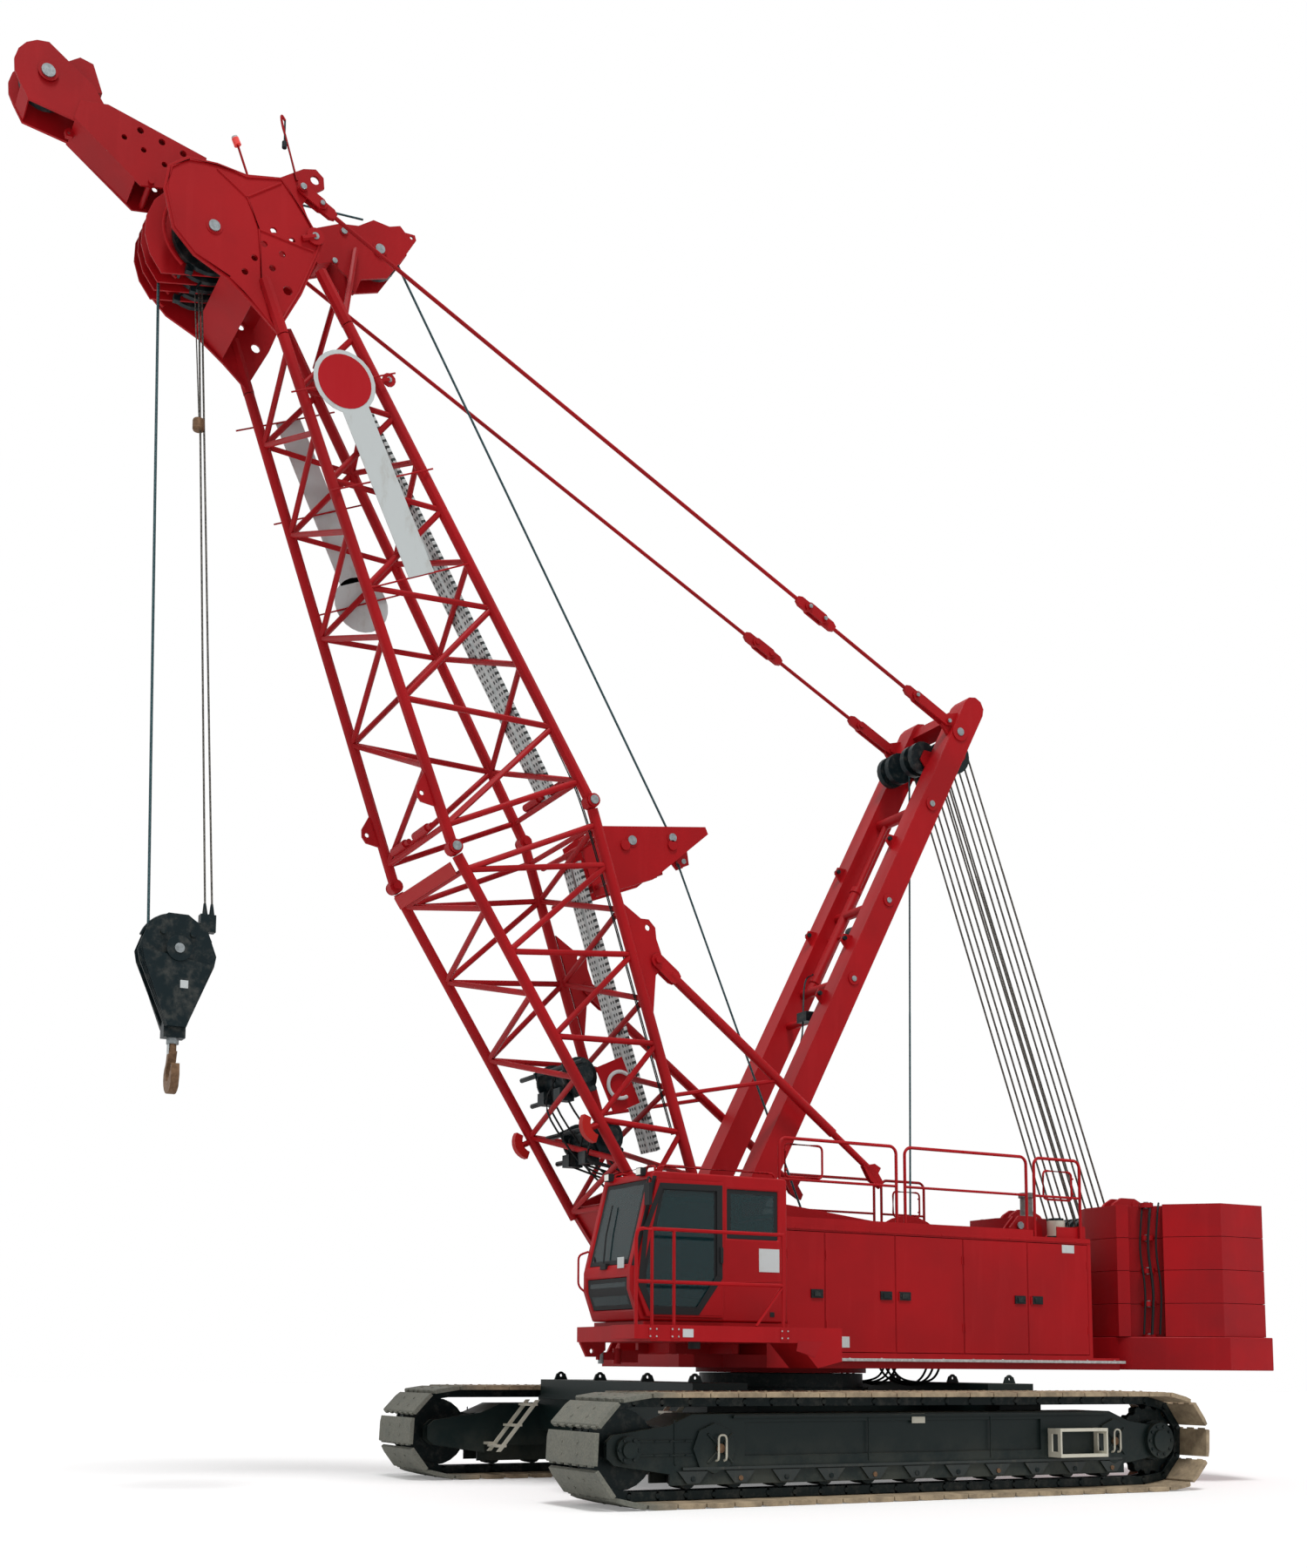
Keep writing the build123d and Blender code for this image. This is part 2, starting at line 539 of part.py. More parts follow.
def drawn_in(outline, distance):
    """A convex outline, each corner drawn in towards its middle."""
    middle_x = sum(x for x, z in outline) / len(outline)
    middle_z = sum(z for x, z in outline) / len(outline)
    points = []
    for x, z in outline:
        reach = math.hypot(x - middle_x, z - middle_z)
        points.append((x - (x - middle_x) * distance / reach, z - (z - middle_z) * distance / reach))
    return points


with BuildPart() as cab_glass:
    plate(drawn_in(WINDOW_REAR, 3), CAB_Y1 - 24, CAB_Y1 - 16)
    plate(drawn_in(WINDOW_RIGHT, 3), CAB_Y0 + 16, CAB_Y0 + 24)
    plate([(3118, 2356), (3108, 2356), (2898, 3204), (2908, 3204)], CAB_Y0 + 93, CAB_Y1 - 93)
    plate([(3062, 1906), (3070, 1906), (3132, 2080), (3138, 2214), (3130, 2214), (3124, 2082)],
          CAB_Y0 + 93, CAB_Y1 - 93)
    block(1306, 1314, CAB_Y0 + 133, CAB_Y1 - 133, 2903, 3157)
    block(2153, 2747, CAB_Y0 + 183, CAB_Y1 - 183, 3266, 3274)
save(cab_glass.part, "cab_glass")

with BuildPart() as cab_seat:
    # pedestal, cushion, backrest, two arm consoles and the front console
    block(1560, 2020, 1330, 1770, 1830, 2060)
    block(1500, 2040, 1310, 1790, 2060, 2190)
    plate([(1480, 2190), (1600, 2190), (1520, 2860), (1400, 2860)], 1330, 1770)
    block(1560, 2250, 1120, 1260, 1830, 2330)
    block(1560, 2250, 1840, 1960, 1830, 2330)
    plate([(2690, 1830), (2790, 1830), (2790, 2200), (2740, 2300), (2690, 2280)], 1200, 1560)
save(cab_seat.part, "cab_seat")

DOOR_OUT = [(2090, 1830), (2985, 1830), (3095, 2110), (3095, 2275), (2865, 3205), (2090, 3205)]
DOOR_IN = [(2150, 1890), (2940, 1890), (3030, 2120), (3030, 2265), (2815, 3145), (2150, 3145)]
with BuildPart() as cab_door:
    plate(DOOR_OUT, CAB_Y1 + 8, CAB_Y1 + 36, cuts=[DOOR_IN])
save(cab_door.part, "cab_door")

with BuildPart() as cab_door_glass:
    plate(drawn_in(DOOR_IN, 2), CAB_Y1 + 16, CAB_Y1 + 24)
save(cab_door_glass.part, "cab_door_glass")

WALK_Y = 2550.0
FLOOR_Z0, FLOOR_Z1 = 1580.0, 1735.0
with BuildPart() as cab_platform:
    # floor under the cab and the walkway outside it, and the step bracket at its rear
    block(1500, 3200, 1010, WALK_Y, FLOOR_Z0, FLOOR_Z1)
    plate([(1500, FLOOR_Z0), (1500, FLOOR_Z1), (960, FLOOR_Z1), (960, 1400), (1260, 1330)],
          CAB_Y1 - 20, WALK_Y)
    block(1290, 3000, 1010, CAB_Y1, FLOOR_Z1, 1784)
    # brackets from the bed
    for x in (1540, 2300):
        block(x, x + 80, 1002, 1500, SILL_TOP + 2, FLOOR_Z0)
    block(1240, 2500, 1002, 1060, SILL_TOP + 2, FLOOR_Z0)
    # towing eye under the floor's front edge
    plate([(3120, 1430), (3200, FLOOR_Z0 + 5), (2900, FLOOR_Z0 + 5), (2900, 1500), (3000, 1430)],
          1040, 1080, [(3060, 1490, 24)])
    # railing
    rail_y = WALK_Y - 25
    for x in (1660, 2925, 3170):
        bar((x, rail_y, FLOOR_Z1 - 5), (x, rail_y, 2660), 18)
    for z in (2660, 2150):
        bar((1650, rail_y, z), (3180, rail_y, z), 18)
save(cab_platform.part, "cab_platform")

# ================================================================ boom
# Its own measures: s runs along it from the foot pin, t towards its underside, y across.
JOINT_S = 5700.0
TOP_S = 11600.0
BUTT_W, HEAD_W = 842.0, 602.0          # half widths, to the chord's middle
FOOT_D, JOINT_D = 350.0, 885.0         # half depths, to the chord's middle
FOOT_S = 1500.0
LUG_R = 80.0


def boom_xz(s, t):
    lean = math.radians(BOOM_ANGLE)
    return (BOOM_FOOT[0] + s * math.cos(lean) + t * math.sin(lean),
            BOOM_FOOT[1] + s * math.sin(lean) - t * math.cos(lean))


def boom_at(s, t, y):
    x, z = boom_xz(s, t)
    return (x, y, z)


def boom_plate(outline, y0, y1, bores=(), cuts=(), mode=Mode.ADD):
    """A side plate of the boom, from its (s, t) outline."""
    return plate([boom_xz(*p) for p in outline], y0, y1,
                 [(*boom_xz(s, t), r) for s, t, r in bores],
                 [[boom_xz(*p) for p in cut] for cut in cuts], mode)


def boom_shaft(s, t, radius, y0, y1, mode=Mode.ADD):
    return shaft(*boom_xz(s, t), radius, y0, y1, mode)


def boom_wheel(s, t, radius, y0, y1, flats=WHEEL_FLATS, mode=Mode.ADD):
    return wheel(*boom_xz(s, t), radius, y0, y1, flats, mode)


def piercings(rows, flats=10):
    """Lightening holes as cuts: rows of (s, t, radius)."""
    return [round_points((s, t), radius, 0, 360 - 360 / flats, flats - 1)
            for s, t, radius in rows]


def half_w(s):
    if s <= JOINT_S:
        return BUTT_W
    return BUTT_W - (s - JOINT_S) * (BUTT_W - HEAD_W) / (TOP_S - JOINT_S)


def half_d(s):
    if s <= JOINT_S:
        return FOOT_D + (s - FOOT_S) * (JOINT_D - FOOT_D) / (JOINT_S - FOOT_S)
    return JOINT_D - (s - JOINT_S) * (JOINT_D - FOOT_D) / (TOP_S - JOINT_S)


def node(s, under, left):
    """Where the middle of a chord is at s; under and left are 1 or -1."""
    return boom_at(s, under * half_d(s), left * half_w(s))


CHORDS = [(under, left) for under in (1, -1) for left in (1, -1)]


def chord_bars(s0, s1, radius=CHORD_R):
    return [bar(node(s0, *c), node(s1, *c), radius, CHORD_FLATS, Mode.PRIVATE) for c in CHORDS]


def lacing(ends):
    """Lacing bars; each end is (s, under, left). They stop inside the chords."""
    bars = []
    for first, last in ends:
        p, q = Vector(*node(*first)), Vector(*node(*last))
        run = (q - p).normalized()
        bars.append(bar(tuple(p + run * 25), tuple(q - run * 25), LACE_R, LACE_FLATS,
                        Mode.PRIVATE))
    return bars


def zigzag(one_s, other_s, one, other):
    """Lacing that runs from one chord to another and back, through each chord's nodes in turn."""
    order = sorted([(s, one) for s in one_s] + [(s, other) for s in other_s])
    return [((s0, *c0), (s1, *c1)) for (s0, c0), (s1, c1) in zip(order, order[1:]) if c0 != c1]


def frame_at(s):
    """The square of bars across all four chords at s."""
    return [((s, 1, 1), (s, -1, 1)), ((s, 1, -1), (s, -1, -1)), ((s, -1, 1), (s, -1, -1)),
            ((s, 1, 1), (s, 1, -1))]


UNDER_TOP = [7330.0, 8530.0, 9690.0, 10680.0]
UPPER_TOP = [6590.0, 7990.0, 9130.0, 10200.0, 11100.0]
FIRST_FRAME = 5950.0
with BuildPart() as boom_top:
    top = chord_bars(JOINT_S + 20, TOP_S - 360)
    for left in (1, -1):
        top += lacing(zigzag(UNDER_TOP, UPPER_TOP, (1, left), (-1, left)))
        top += lacing([((FIRST_FRAME, 1, left), (UPPER_TOP[0], -1, left))])
    top += lacing(zigzag([FIRST_FRAME] + UNDER_TOP, UPPER_TOP, (-1, 1), (-1, -1)))
    top += lacing(zigzag([FIRST_FRAME] + UNDER_TOP, UPPER_TOP, (1, -1), (1, 1)))
    top += lacing(frame_at(FIRST_FRAME))
    add(top)
    # round lugs and pins between the two sections, and eyes on the underside just above them
    for under, left in CHORDS:
        y, t = left * BUTT_W, under * JOINT_D
        boom_wheel(JOINT_S, t, LUG_R, y - 62, y + 62, 12)
        boom_shaft(JOINT_S, t, 40, y - 92, y + 92)
    for left in (1, -1):
        y = left * half_w(6350)
        boom_plate([(6150, half_d(6150) + 20), (6560, half_d(6560) + 20), (6420, half_d(6420) + 190),
                    (6340, half_d(6340) + 215), (6260, half_d(6260) + 190)], y - 14, y + 14,
                   [(6340, half_d(6340) + 150, 26)])
save(boom_top.part, "boom_top")

UNDER_BUTT = [1500.0, 2500.0, 3500.0, 4500.0]
UPPER_BUTT = [2000.0, 3000.0, 4000.0, 5000.0]
LAST_FRAME = 5450.0
FOOT_PLATE = ([(1560, half_d(1560)), (1560, -half_d(1560)), (1400, -340), (160, -110)]
              + round_points((0, 0), 108, -80, -280, 8) + [(160, 110), (1400, 340)])
with BuildPart() as boom_butt:
    butt = chord_bars(1420, JOINT_S - LUG_R - 4)
    for left in (1, -1):
        butt += lacing(zigzag(UNDER_BUTT, UPPER_BUTT, (1, left), (-1, left)))
        butt += lacing([((LAST_FRAME, 1, left), (UPPER_BUTT[-1], -1, left))])
    butt += lacing(zigzag(UNDER_BUTT + [LAST_FRAME], UPPER_BUTT, (-1, 1), (-1, -1)))
    butt += lacing(zigzag(UNDER_BUTT + [LAST_FRAME], UPPER_BUTT, (1, -1), (1, 1)))
    butt += lacing(frame_at(LAST_FRAME) + frame_at(FOOT_S))
    add(butt)
    # plated foot down to the foot eyes, and its cross plates
    for side, word in SIDES:
        boom_plate(FOOT_PLATE, side * 785, side * 865, [(0, 0, PIN_R + PIN_PLAY)])
        boom_plate([(1000, side * 205), (1000, side * 230), (1540, side * 335), (1540, side * 310)],
                   -790, 790)
save(boom_butt.part, "boom_butt")

HEAD_C = (12450.0, 640.0)
HEAD_R = 370.0
HEAD_PLATE = [(11290, 420), (11640, -20), (12000, -380), (12120, -480), (12420, -430),
              (12560, -430), (12640, -560), (12690, -750), (12800, -790), (12900, -740),
              (12920, -600), (12860, -300), (12930, 60), (13080, 330), (13180, 620), (13120, 860),
              (12900, 1010), (12500, 1090), (12200, 980), (11900, 720), (11600, 560)]
# eyes of the ear: the pendant's pin, then a spare one; lightening holes in the throat
EAR_EYES = [(12710, -490, 33), (12790, -680, 48)]
HEAD_HOLES = ([(12200 - 125 * k, -150 + 170 * k, 36) for k in range(4)]
              + [(12330 - 125 * k, 10 + 165 * k, 36) for k in range(4)]
              + [(11700, 120, 52)])
RIB = ([(12060, 420), (12060, 150), (12880, -60), (13090, 420)]
       + round_points(HEAD_C, 630, 15, 110, 5))
RIB_Y = (235.0, 65.0)
with BuildPart() as boom_head:
    for side, word in SIDES:
        # outer side plate with its lightening holes and the pendant's ear
        boom_plate(HEAD_PLATE, side * 560, side * 590, [(*HEAD_C, 60.5)] + EAR_EYES,
                   piercings(HEAD_HOLES))
        # curved plates between the sheaves
        for y in RIB_Y:
            boom_plate(RIB, side * y, side * (y + 22), [(*HEAD_C, 60.5)])
    # cross plates: top, throat, underside and the rear web
    boom_plate([(12840, -300), (12868, -300), (12938, 60), (12910, 60)], -560, 560)
    boom_plate([(11900, 60), (11930, 40), (12040, 150), (12020, 170)], -560, 560)
    boom_plate([(11640, 555), (11660, 530), (12030, 700), (12010, 725)], -560, 560)
    boom_plate([(12130, -440), (12130, -465), (12410, -415), (12410, -390)], -560, 560)
    # stubs that carry on the four chords
    for under, left in CHORDS:
        bar(node(TOP_S - 350, under, left), node(TOP_S + 240, under, left), CHORD_R + 4, CHORD_FLATS)
save(boom_head.part, "boom_head")

HEAD_SHEAVES = (-330, -160, 0, 160, 330)
with BuildPart() as head_sheaves:
    boom_shaft(*HEAD_C, 60, -552, 552)
    for y in HEAD_SHEAVES:
        boom_wheel(*HEAD_C, HEAD_R, y - 30, y + 30)
save(head_sheaves.part, "head_sheaves")

# upper boom point, a pinned extension with a single sheave
POINT_C = (14380.0, 1540.0)
ARM = [(13060, 420), (13350, 230), (13990, 1060), (14060, 1330), (13900, 1470), (13150, 1060),
       (13100, 860)]
ARM_HOLES = [(13420, 470, 36), (13560, 650, 36), (13700, 830, 36), (13330, 720, 30),
             (13500, 880, 30), (13650, 1030, 30)]
POINT_PLATE = ([(13880, 1450), (13960, 1085), (14200, 1120), (14490, 1290)]
               + round_points(POINT_C, 330, -25, 100, 6) + [(14140, 1850)])
with BuildPart() as boom_point:
    for side, word in SIDES:
        boom_plate(ARM, side * 200, side * 225, cuts=piercings(ARM_HOLES))
        boom_plate(POINT_PLATE, side * 170, side * 200, [(*POINT_C, 50.5)])
    # webs under and over the arms, guards round the sheave
    boom_plate([(13220, 1090), (13234, 1066), (13900, 1440), (13886, 1464)], -200, 200)
    boom_plate([(13420, 330), (13440, 318), (13960, 1030), (13940, 1042)], -200, 200)
    boom_plate([(14150, 1842), (14160, 1820), (14302, 1845), (14300, 1858)], -175, 175)
    boom_plate([(14650, 1560), (14674, 1556), (14660, 1680), (14636, 1676)], -175, 175)
    boom_plate([(14180, 1020), (14480, 990), (14560, 1100), (14530, 1240), (14440, 1280),
                (14200, 1140)], -110, 110)
    boom_plate([(13820, 1480), (13850, 1440), (13920, 1470), (13900, 1530), (13840, 1540)],
               -25, 25, [(13865, 1500, 16)])
    # pins that join it to the head
    for s, t in ((13170, 940), (13270, 420)):
        boom_wheel(s, t, 32, -250, 250, 10)
save(boom_point.part, "boom_point")

with BuildPart() as point_sheave:
    boom_shaft(*POINT_C, 50, -215, 215)
    boom_wheel(*POINT_C, 250, -60, 60)
save(point_sheave.part, "point_sheave")

# rope deflector, on an arm behind the head
DEFL_C = (12200.0, -1390.0)
DEFL_R = 250.0
DEFL_ARM = [(12150, -590), (12520, -590), (12540, -1040), (12490, -1250), (12530, -1459),
            (12436, -1622), (12428, -1756), (12349, -1785), (12305, -1892), (12245, -1883),
            (12103, -1681), (11889, -1353), (11918, -1030), (11784, -901), (11767, -863),
            (11807, -844), (11981, -879), (12032, -835), (12151, -779)]
STRUT_TOP, STRUT_FOOT = (12221.0, -1080.0), (11330.0, -430.0)
with BuildPart() as rope_deflector:
    for side, word in SIDES:
        boom_plate(DEFL_ARM, side * 130, side * 155, [(*DEFL_C, 40.5)],
                   piercings([(12284, -1840, 22), (11800, -870, 14)], 6))
        bar(boom_at(*STRUT_TOP, side * 190), boom_at(*STRUT_FOOT, side * 470), 34)
    boom_wheel(*STRUT_TOP, 30, -215, 215, 10)
    boom_plate([(12500, -600), (12520, -600), (12535, -1000), (12515, -1000)], -130, 130)
    boom_plate([(12155, -600), (12175, -600), (12175, -760), (12155, -760)], -130, 130)
save(rope_deflector.part, "rope_deflector")

with BuildPart() as deflector_sheave:
    boom_shaft(*DEFL_C, 40, -165, 165)
    boom_wheel(*DEFL_C, DEFL_R, -45, 45)
save(deflector_sheave.part, "deflector_sheave")

# rope guide bracket on the back of the boom at the joint
GUIDE_SIDE = [(5420, -960), (5500, -1260), (5080, -2640), (4990, -2640), (4720, -1700),
              (4760, -900)]
# rollers of the guide: s, t, radius
GUIDE_ROLLERS = [(5190, -1510, 60), (5010, -2110, 60), (5330, -960, 38), (4860, -960, 38)]
with BuildPart() as rope_guide:
    for side, word in SIDES:
        boom_plate(GUIDE_SIDE, side * 180, side * 205)
        for s in (5330, 4860):
            bar(boom_at(s, -960, side * 200),
                boom_at(s, -half_d(s) - CHORD_R - 8, side * 700), 32)
    for s, t, radius in GUIDE_ROLLERS:
        boom_wheel(s, t, radius, -225, 225, 12)
save(rope_guide.part, "rope_guide")

# two winches inside the butt section, one above the other
WINCHES = [(2980.0, 214.0), (2250.0, 190.0)]
with BuildPart() as boom_winches:
    for s, t in WINCHES:
        boom_wheel(s, t, 130, -330, 330, 16)
        for side, word in SIDES:
            boom_wheel(s, t, 215, side * 300, side * 330)
            boom_wheel(s, t, 100, side * 330, side * 470, 12)
            boom_plate([(s - 200, t - 70), (s + 200, t - 70), (s + 200, t + 170),
                        (s - 200, t + 170)], side * 340, side * 365)
        for ds in (-160, 160):
            boom_wheel(s + ds, t + 130, 30, -775, 775, 8)
save(boom_winches.part, "boom_winches")

# walkway strips along the back of the boom: first and last s of each run
WALKWAYS = [(1850.0, 5200.0), (5980.0, 11200.0)]
with BuildPart() as boom_walkways:
    for first, last in WALKWAYS:
        t0, t1 = (-half_d(s) - LACE_R - 1 for s in (first, last))
        for side, word in SIDES:
            boom_plate([(first, t0), (first, t0 - 45), (last, t1 - 45), (last, t1)],
                       side * 25, side * 190)
save(boom_walkways.part, "boom_walkways")

# blank boards on the sides of the top section, each a disc and a strip: disc middle, strip end
BOARDS = [(1, (10450.0, 60.0), 8250.0), (-1, (8350.0, 60.0), 10550.0)]
BOARD_R, STRIP_HALF = 310.0, 165.0
with BuildPart() as sign_boards:
    for side, middle, end in BOARDS:
        inner = side * (half_w(8250.0) + 42)
        near = middle[0] + math.copysign(150, end - middle[0])
        boom_plate(round_points(middle, BOARD_R, 0, 337.5, 15), inner, inner + side * 12)
        boom_plate([(near, middle[1] - STRIP_HALF), (end, middle[1] - STRIP_HALF),
                    (end, middle[1] + STRIP_HALF), (near, middle[1] + STRIP_HALF)],
                   inner, inner + side * 12)
save(sign_boards.part, "sign_boards")

# boom stops: struts that land on the deck when the boom is fully raised
STOP_Y = 820.0
STOP_TOP = (3840.0, -940.0)
STOP_LUG = [(3300, -half_d(3300) - CHORD_R - 3), (3690, -860), (3760, -1010), (3900, -1030),
            (4060, -1040), (4180, -1080), (4290, -1040), (4330, -950),
            (4560, -half_d(4560) - CHORD_R - 3)]
STOP_FORK = [(760, -2540), (560, -2560), (420, -2660), (470, -2720), (600, -2700), (640, -2760),
             (720, -2700)]
with BuildPart() as boom_stops:
    for side, word in SIDES:
        y = side * STOP_Y
        boom_plate(STOP_LUG, y - 14, y + 14, [(4210, -990, 34)])
        boom_wheel(*STOP_TOP, 40, y - 80, y + 80, 12)
        for dy in (-45, 30):
            boom_plate(link_outline(STOP_TOP, (3600, -1068), 78), y + dy, y + dy + 15)
        bar(boom_at(3640, -1047, y), boom_at(1250, -2320, y), 55, 10)
        bar(boom_at(1270, -2310, y), boom_at(720, -2603, y), 40, 10)
        for dy in (12, -34):
            boom_plate(STOP_FORK, y + dy, y + dy + 22)
        # link that steadies the strut from the boom
        bar(boom_at(2400, -half_d(2400) - CHORD_R - 6, y), boom_at(2080, -1860, y), 24)
save(boom_stops.part, "boom_stops")

# ================================================================ mast
# Its own measures: m runs along it from the foot pin, n towards its front.
MAST_TOP = 8370.0
LEG_Y0, LEG_Y1 = 374.0, 654.0
LEG_HALF = 155.0


def mast_xz(m, n):
    lean = math.radians(MAST_ANGLE)
    return (MAST_FOOT[0] + m * math.cos(lean) + n * math.sin(lean),
            MAST_FOOT[1] + m * math.sin(lean) - n * math.cos(lean))


def mast_plate(outline, y0, y1, bores=()):
    return plate([mast_xz(*p) for p in outline], y0, y1,
                 [(*mast_xz(m, n), r) for m, n, r in bores])


MAST_SHEAVE = (7763.0, -200.0)
MAST_GUIDE = (7500.0, 90.0)
PENDANT_LOW = (7850.0, 235.0)
LEG = ([(420, -120), (700, -LEG_HALF)]
       + round_points((MAST_TOP - LEG_HALF, 0), LEG_HALF, -90, 90, 5)
       + [(700, LEG_HALF), (420, 120)])
LEG_EYE = ([(440, -118), (140, -98)] + round_points((0, 0), 105, -80, -280, 8)
           + [(140, 98), (440, 118)])
HEAD_CHEEK = [(7560, -150), (7640, -280), (7763, -320), (7890, -280), (7960, -150), (7940, 100),
              (7400, 150), (7380, -20)]
PENDANT_EAR = [(7700, 150), (7770, 290), (7850, 320), (7930, 290), (8060, 150)]
# round cross members: m, radius
CROSSES = [(1100, 60), (4075, 60), (5226, 60), (6700, 70)]
with BuildPart() as mast:
    for side, word in SIDES:
        mast_plate(LEG, side * LEG_Y0, side * LEG_Y1)
        mast_plate(LEG_EYE, side * 520, side * 600, [(0, 0, PIN_R + PIN_PLAY)])
        mast_plate(PENDANT_EAR, side * 555, side * 595)
        shaft(*mast_xz(*PENDANT_LOW), 32, side * 575 - 23, side * 575 + 23)
        # cheeks that carry the nest of sheaves and the guide sheave
        mast_plate(HEAD_CHEEK, side * 345, side * 380,
                   [(*MAST_SHEAVE, 45.5), (*MAST_GUIDE, 30.5)])
    for m, radius in CROSSES:
        wheel(*mast_xz(m, 0), radius, -LEG_Y0 - 20, LEG_Y0 + 20, 12)
    mast_plate([(8080, -100), (8250, -100), (8250, 100), (8080, 100)], -LEG_Y0 - 10, LEG_Y0 + 10)
    # ram of the erecting gear, between two of the cross members
    (x0, z0), (x1, z1), (x2, z2) = mast_xz(4075, 0), mast_xz(5600, 0), mast_xz(6700, 0)
    bar((x0, -230, z0), (x1, -230, z1), 62, 12)
    bar((x1, -230, z1), (x2, -230, z2), 36, 12)
save(mast.part, "mast")

with BuildPart() as mast_sheaves:
    shaft(*mast_xz(*MAST_SHEAVE), 45, -372, 372)
    for k in range(SHEAVE_COUNT):
        y = (k - (SHEAVE_COUNT - 1) / 2) * MASTHEAD_PITCH
        wheel(*mast_xz(*MAST_SHEAVE), 240, y - 26, y + 26)
save(mast_sheaves.part, "mast_sheaves")

with BuildPart() as mast_guide_sheave:
    shaft(*mast_xz(*MAST_GUIDE), 30, -372, 372)
    wheel(*mast_xz(*MAST_GUIDE), 110, -40, 40)
save(mast_guide_sheave.part, "mast_guide_sheave")

# reeving of the boom hoist between the two nests. Each fall is in two lengths that lie side by
# side, so that they slide past each other as the mast luffs.
ROPE_R, ROPE_REACH, ROPE_APART = 12.5, 4850.0, 24.0


def fall(k, side):
    """Start and end of a fall on sheave k, on the upper or the lower side of the sheaves."""
    low, high = Vector(NEST[0], 0, NEST[1]), Vector(mast_xz(*MAST_SHEAVE)[0], 0,
                                                    mast_xz(*MAST_SHEAVE)[1])
    run = (high - low).normalized()
    out = Vector(-run.Z, 0, run.X) * side
    place = k - (SHEAVE_COUNT - 1) / 2
    start = low + out * (NEST_R + ROPE_R + 1) + Vector(0, place * NEST_PITCH, 0)
    end = high + out * (240 + ROPE_R + 1) + Vector(0, place * MASTHEAD_PITCH, 0)
    return start, end


FALLS = [(k, side) for k in range(SHEAVE_COUNT) for side in (1, -1)]
for name, first in (("reeving_lower", True), ("reeving_upper", False)):
    with BuildPart() as reeving:
        falls = []
        for k, side in FALLS:
            start, end = fall(k, side)
            run = (end - start).normalized()
            aside = Vector(0, -ROPE_APART if first else ROPE_APART, 0)
            if not first:
                start, run = end, run * -1
            falls.append(bar(tuple(start + aside), tuple(start + aside + run * ROPE_REACH),
                             ROPE_R, LACE_FLATS, Mode.PRIVATE))
        add(falls)
    save(reeving.part, name)

# pendants from the mast's head to the boom's head: links, long bars and their pins
PEND_Y = 575.0
PEND_UP = (12710.0, -490.0)
low, up = mast_xz(*PENDANT_LOW), boom_xz(*PEND_UP)
PEND_LENGTH = math.hypot(up[0] - low[0], up[1] - low[1])
PEND_PINS = [545.0, 2090.0, 2330.0, PEND_LENGTH - 240.0]


def along(distance):
    part = distance / PEND_LENGTH
    return (low[0] + (up[0] - low[0]) * part, low[1] + (up[1] - low[1]) * part)


with BuildPart() as pendants:
    for side, word in SIDES:
        y = side * PEND_Y
        for a, b in ((0.0, PEND_PINS[0]), (PEND_PINS[1], PEND_PINS[2]),
                     (PEND_PINS[3], PEND_LENGTH)):
            for dy in (-45, 25):
                plate(link_outline(along(a), along(b), 62, 3), y + dy, y + dy + 20)
        for a, b in ((PEND_PINS[0], PEND_PINS[1]), (PEND_PINS[2], PEND_PINS[3])):
            plate(link_outline(along(a), along(a + 130), 62, 3), y - 24, y + 24)
            plate(link_outline(along(b - 130), along(b), 62, 3), y - 24, y + 24)
            (x0, z0), (x1, z1) = along(a + 150), along(b - 150)
            bar((x0, y, z0), (x1, y, z1), 24)
        for distance in (*PEND_PINS, PEND_LENGTH):
            wheel(*along(distance), 32, y - 60, y + 60, 10)
        # heads of the lower pin, whose shank is fixed in the mast's ear
        for dy in (44, -60):
            wheel(*along(0.0), 36, y + dy, y + dy + 16, 10)
save(pendants.part, "pendants")

# ================================================================ hook block and hook
BLOCK_X, BLOCK_Z = 7250.0, 5450.0
CHEEK_LINE = [(-100, 5820), (100, 5820), (300, 5680), (395, 5420), (375, 5310), (105, 4660),
              (-105, 4660), (-375, 5310), (-395, 5420), (-300, 5680)]
LEAF_COUNT = 3
with BuildPart() as hook_block:
    for side, word in SIDES:
        plate([(BLOCK_X + x, z) for x, z in CHEEK_LINE], side * 62, side * 80)
        # stacked weight plates on each cheek, each a little smaller than the last
        for k in range(LEAF_COUNT):
            shrink = 0.97 - 0.03 * k
            plate([(BLOCK_X + x * shrink, z) for x, z in CHEEK_LINE[3:8]],
                  side * (80 + 24 * k), side * (104 + 24 * k))
    wheel(BLOCK_X, BLOCK_Z, 310, -45, 45)
    wheel(BLOCK_X, BLOCK_Z, 60, -165, 165, 16)
    block(BLOCK_X - 110, BLOCK_X + 110, -75, 75, 4560, 4720)
    wheel(BLOCK_X, 5760, 22, -70, 70, 10)
save(hook_block.part, "hook_block")

# hook, forged: a turned shank, then the bowl and tip as arcs in Y and Z
HOOK_Z, BOWL_OUT, BOWL_IN = 4165.0, 165.0, 80.0
HOOK_LINE = ([(-40, 4430), (-75, 4330)] + round_points((0, HOOK_Z), BOWL_OUT, 125, 322, 10)
             + [(160, 4180), (150, 4290), (118, 4215)]
             + round_points((0, HOOK_Z + 38), BOWL_IN, 0, -180, 8)
             + [(-60, 4270), (0, 4330), (40, 4430)])
with BuildPart() as hook:
    with BuildSketch(Plane.YZ.offset(BLOCK_X - 42)) as bowl:
        with BuildLine():
            Polyline(*HOOK_LINE, close=True)
        make_face()
    extrude(bowl.sketch, amount=84)
    bar((BLOCK_X, 0, 4400), (BLOCK_X, 0, 4554), 40, 0)
save(hook.part, "hook")
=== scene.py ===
"""The finish of a lattice boom crawler crane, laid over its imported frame."""
import json
import math

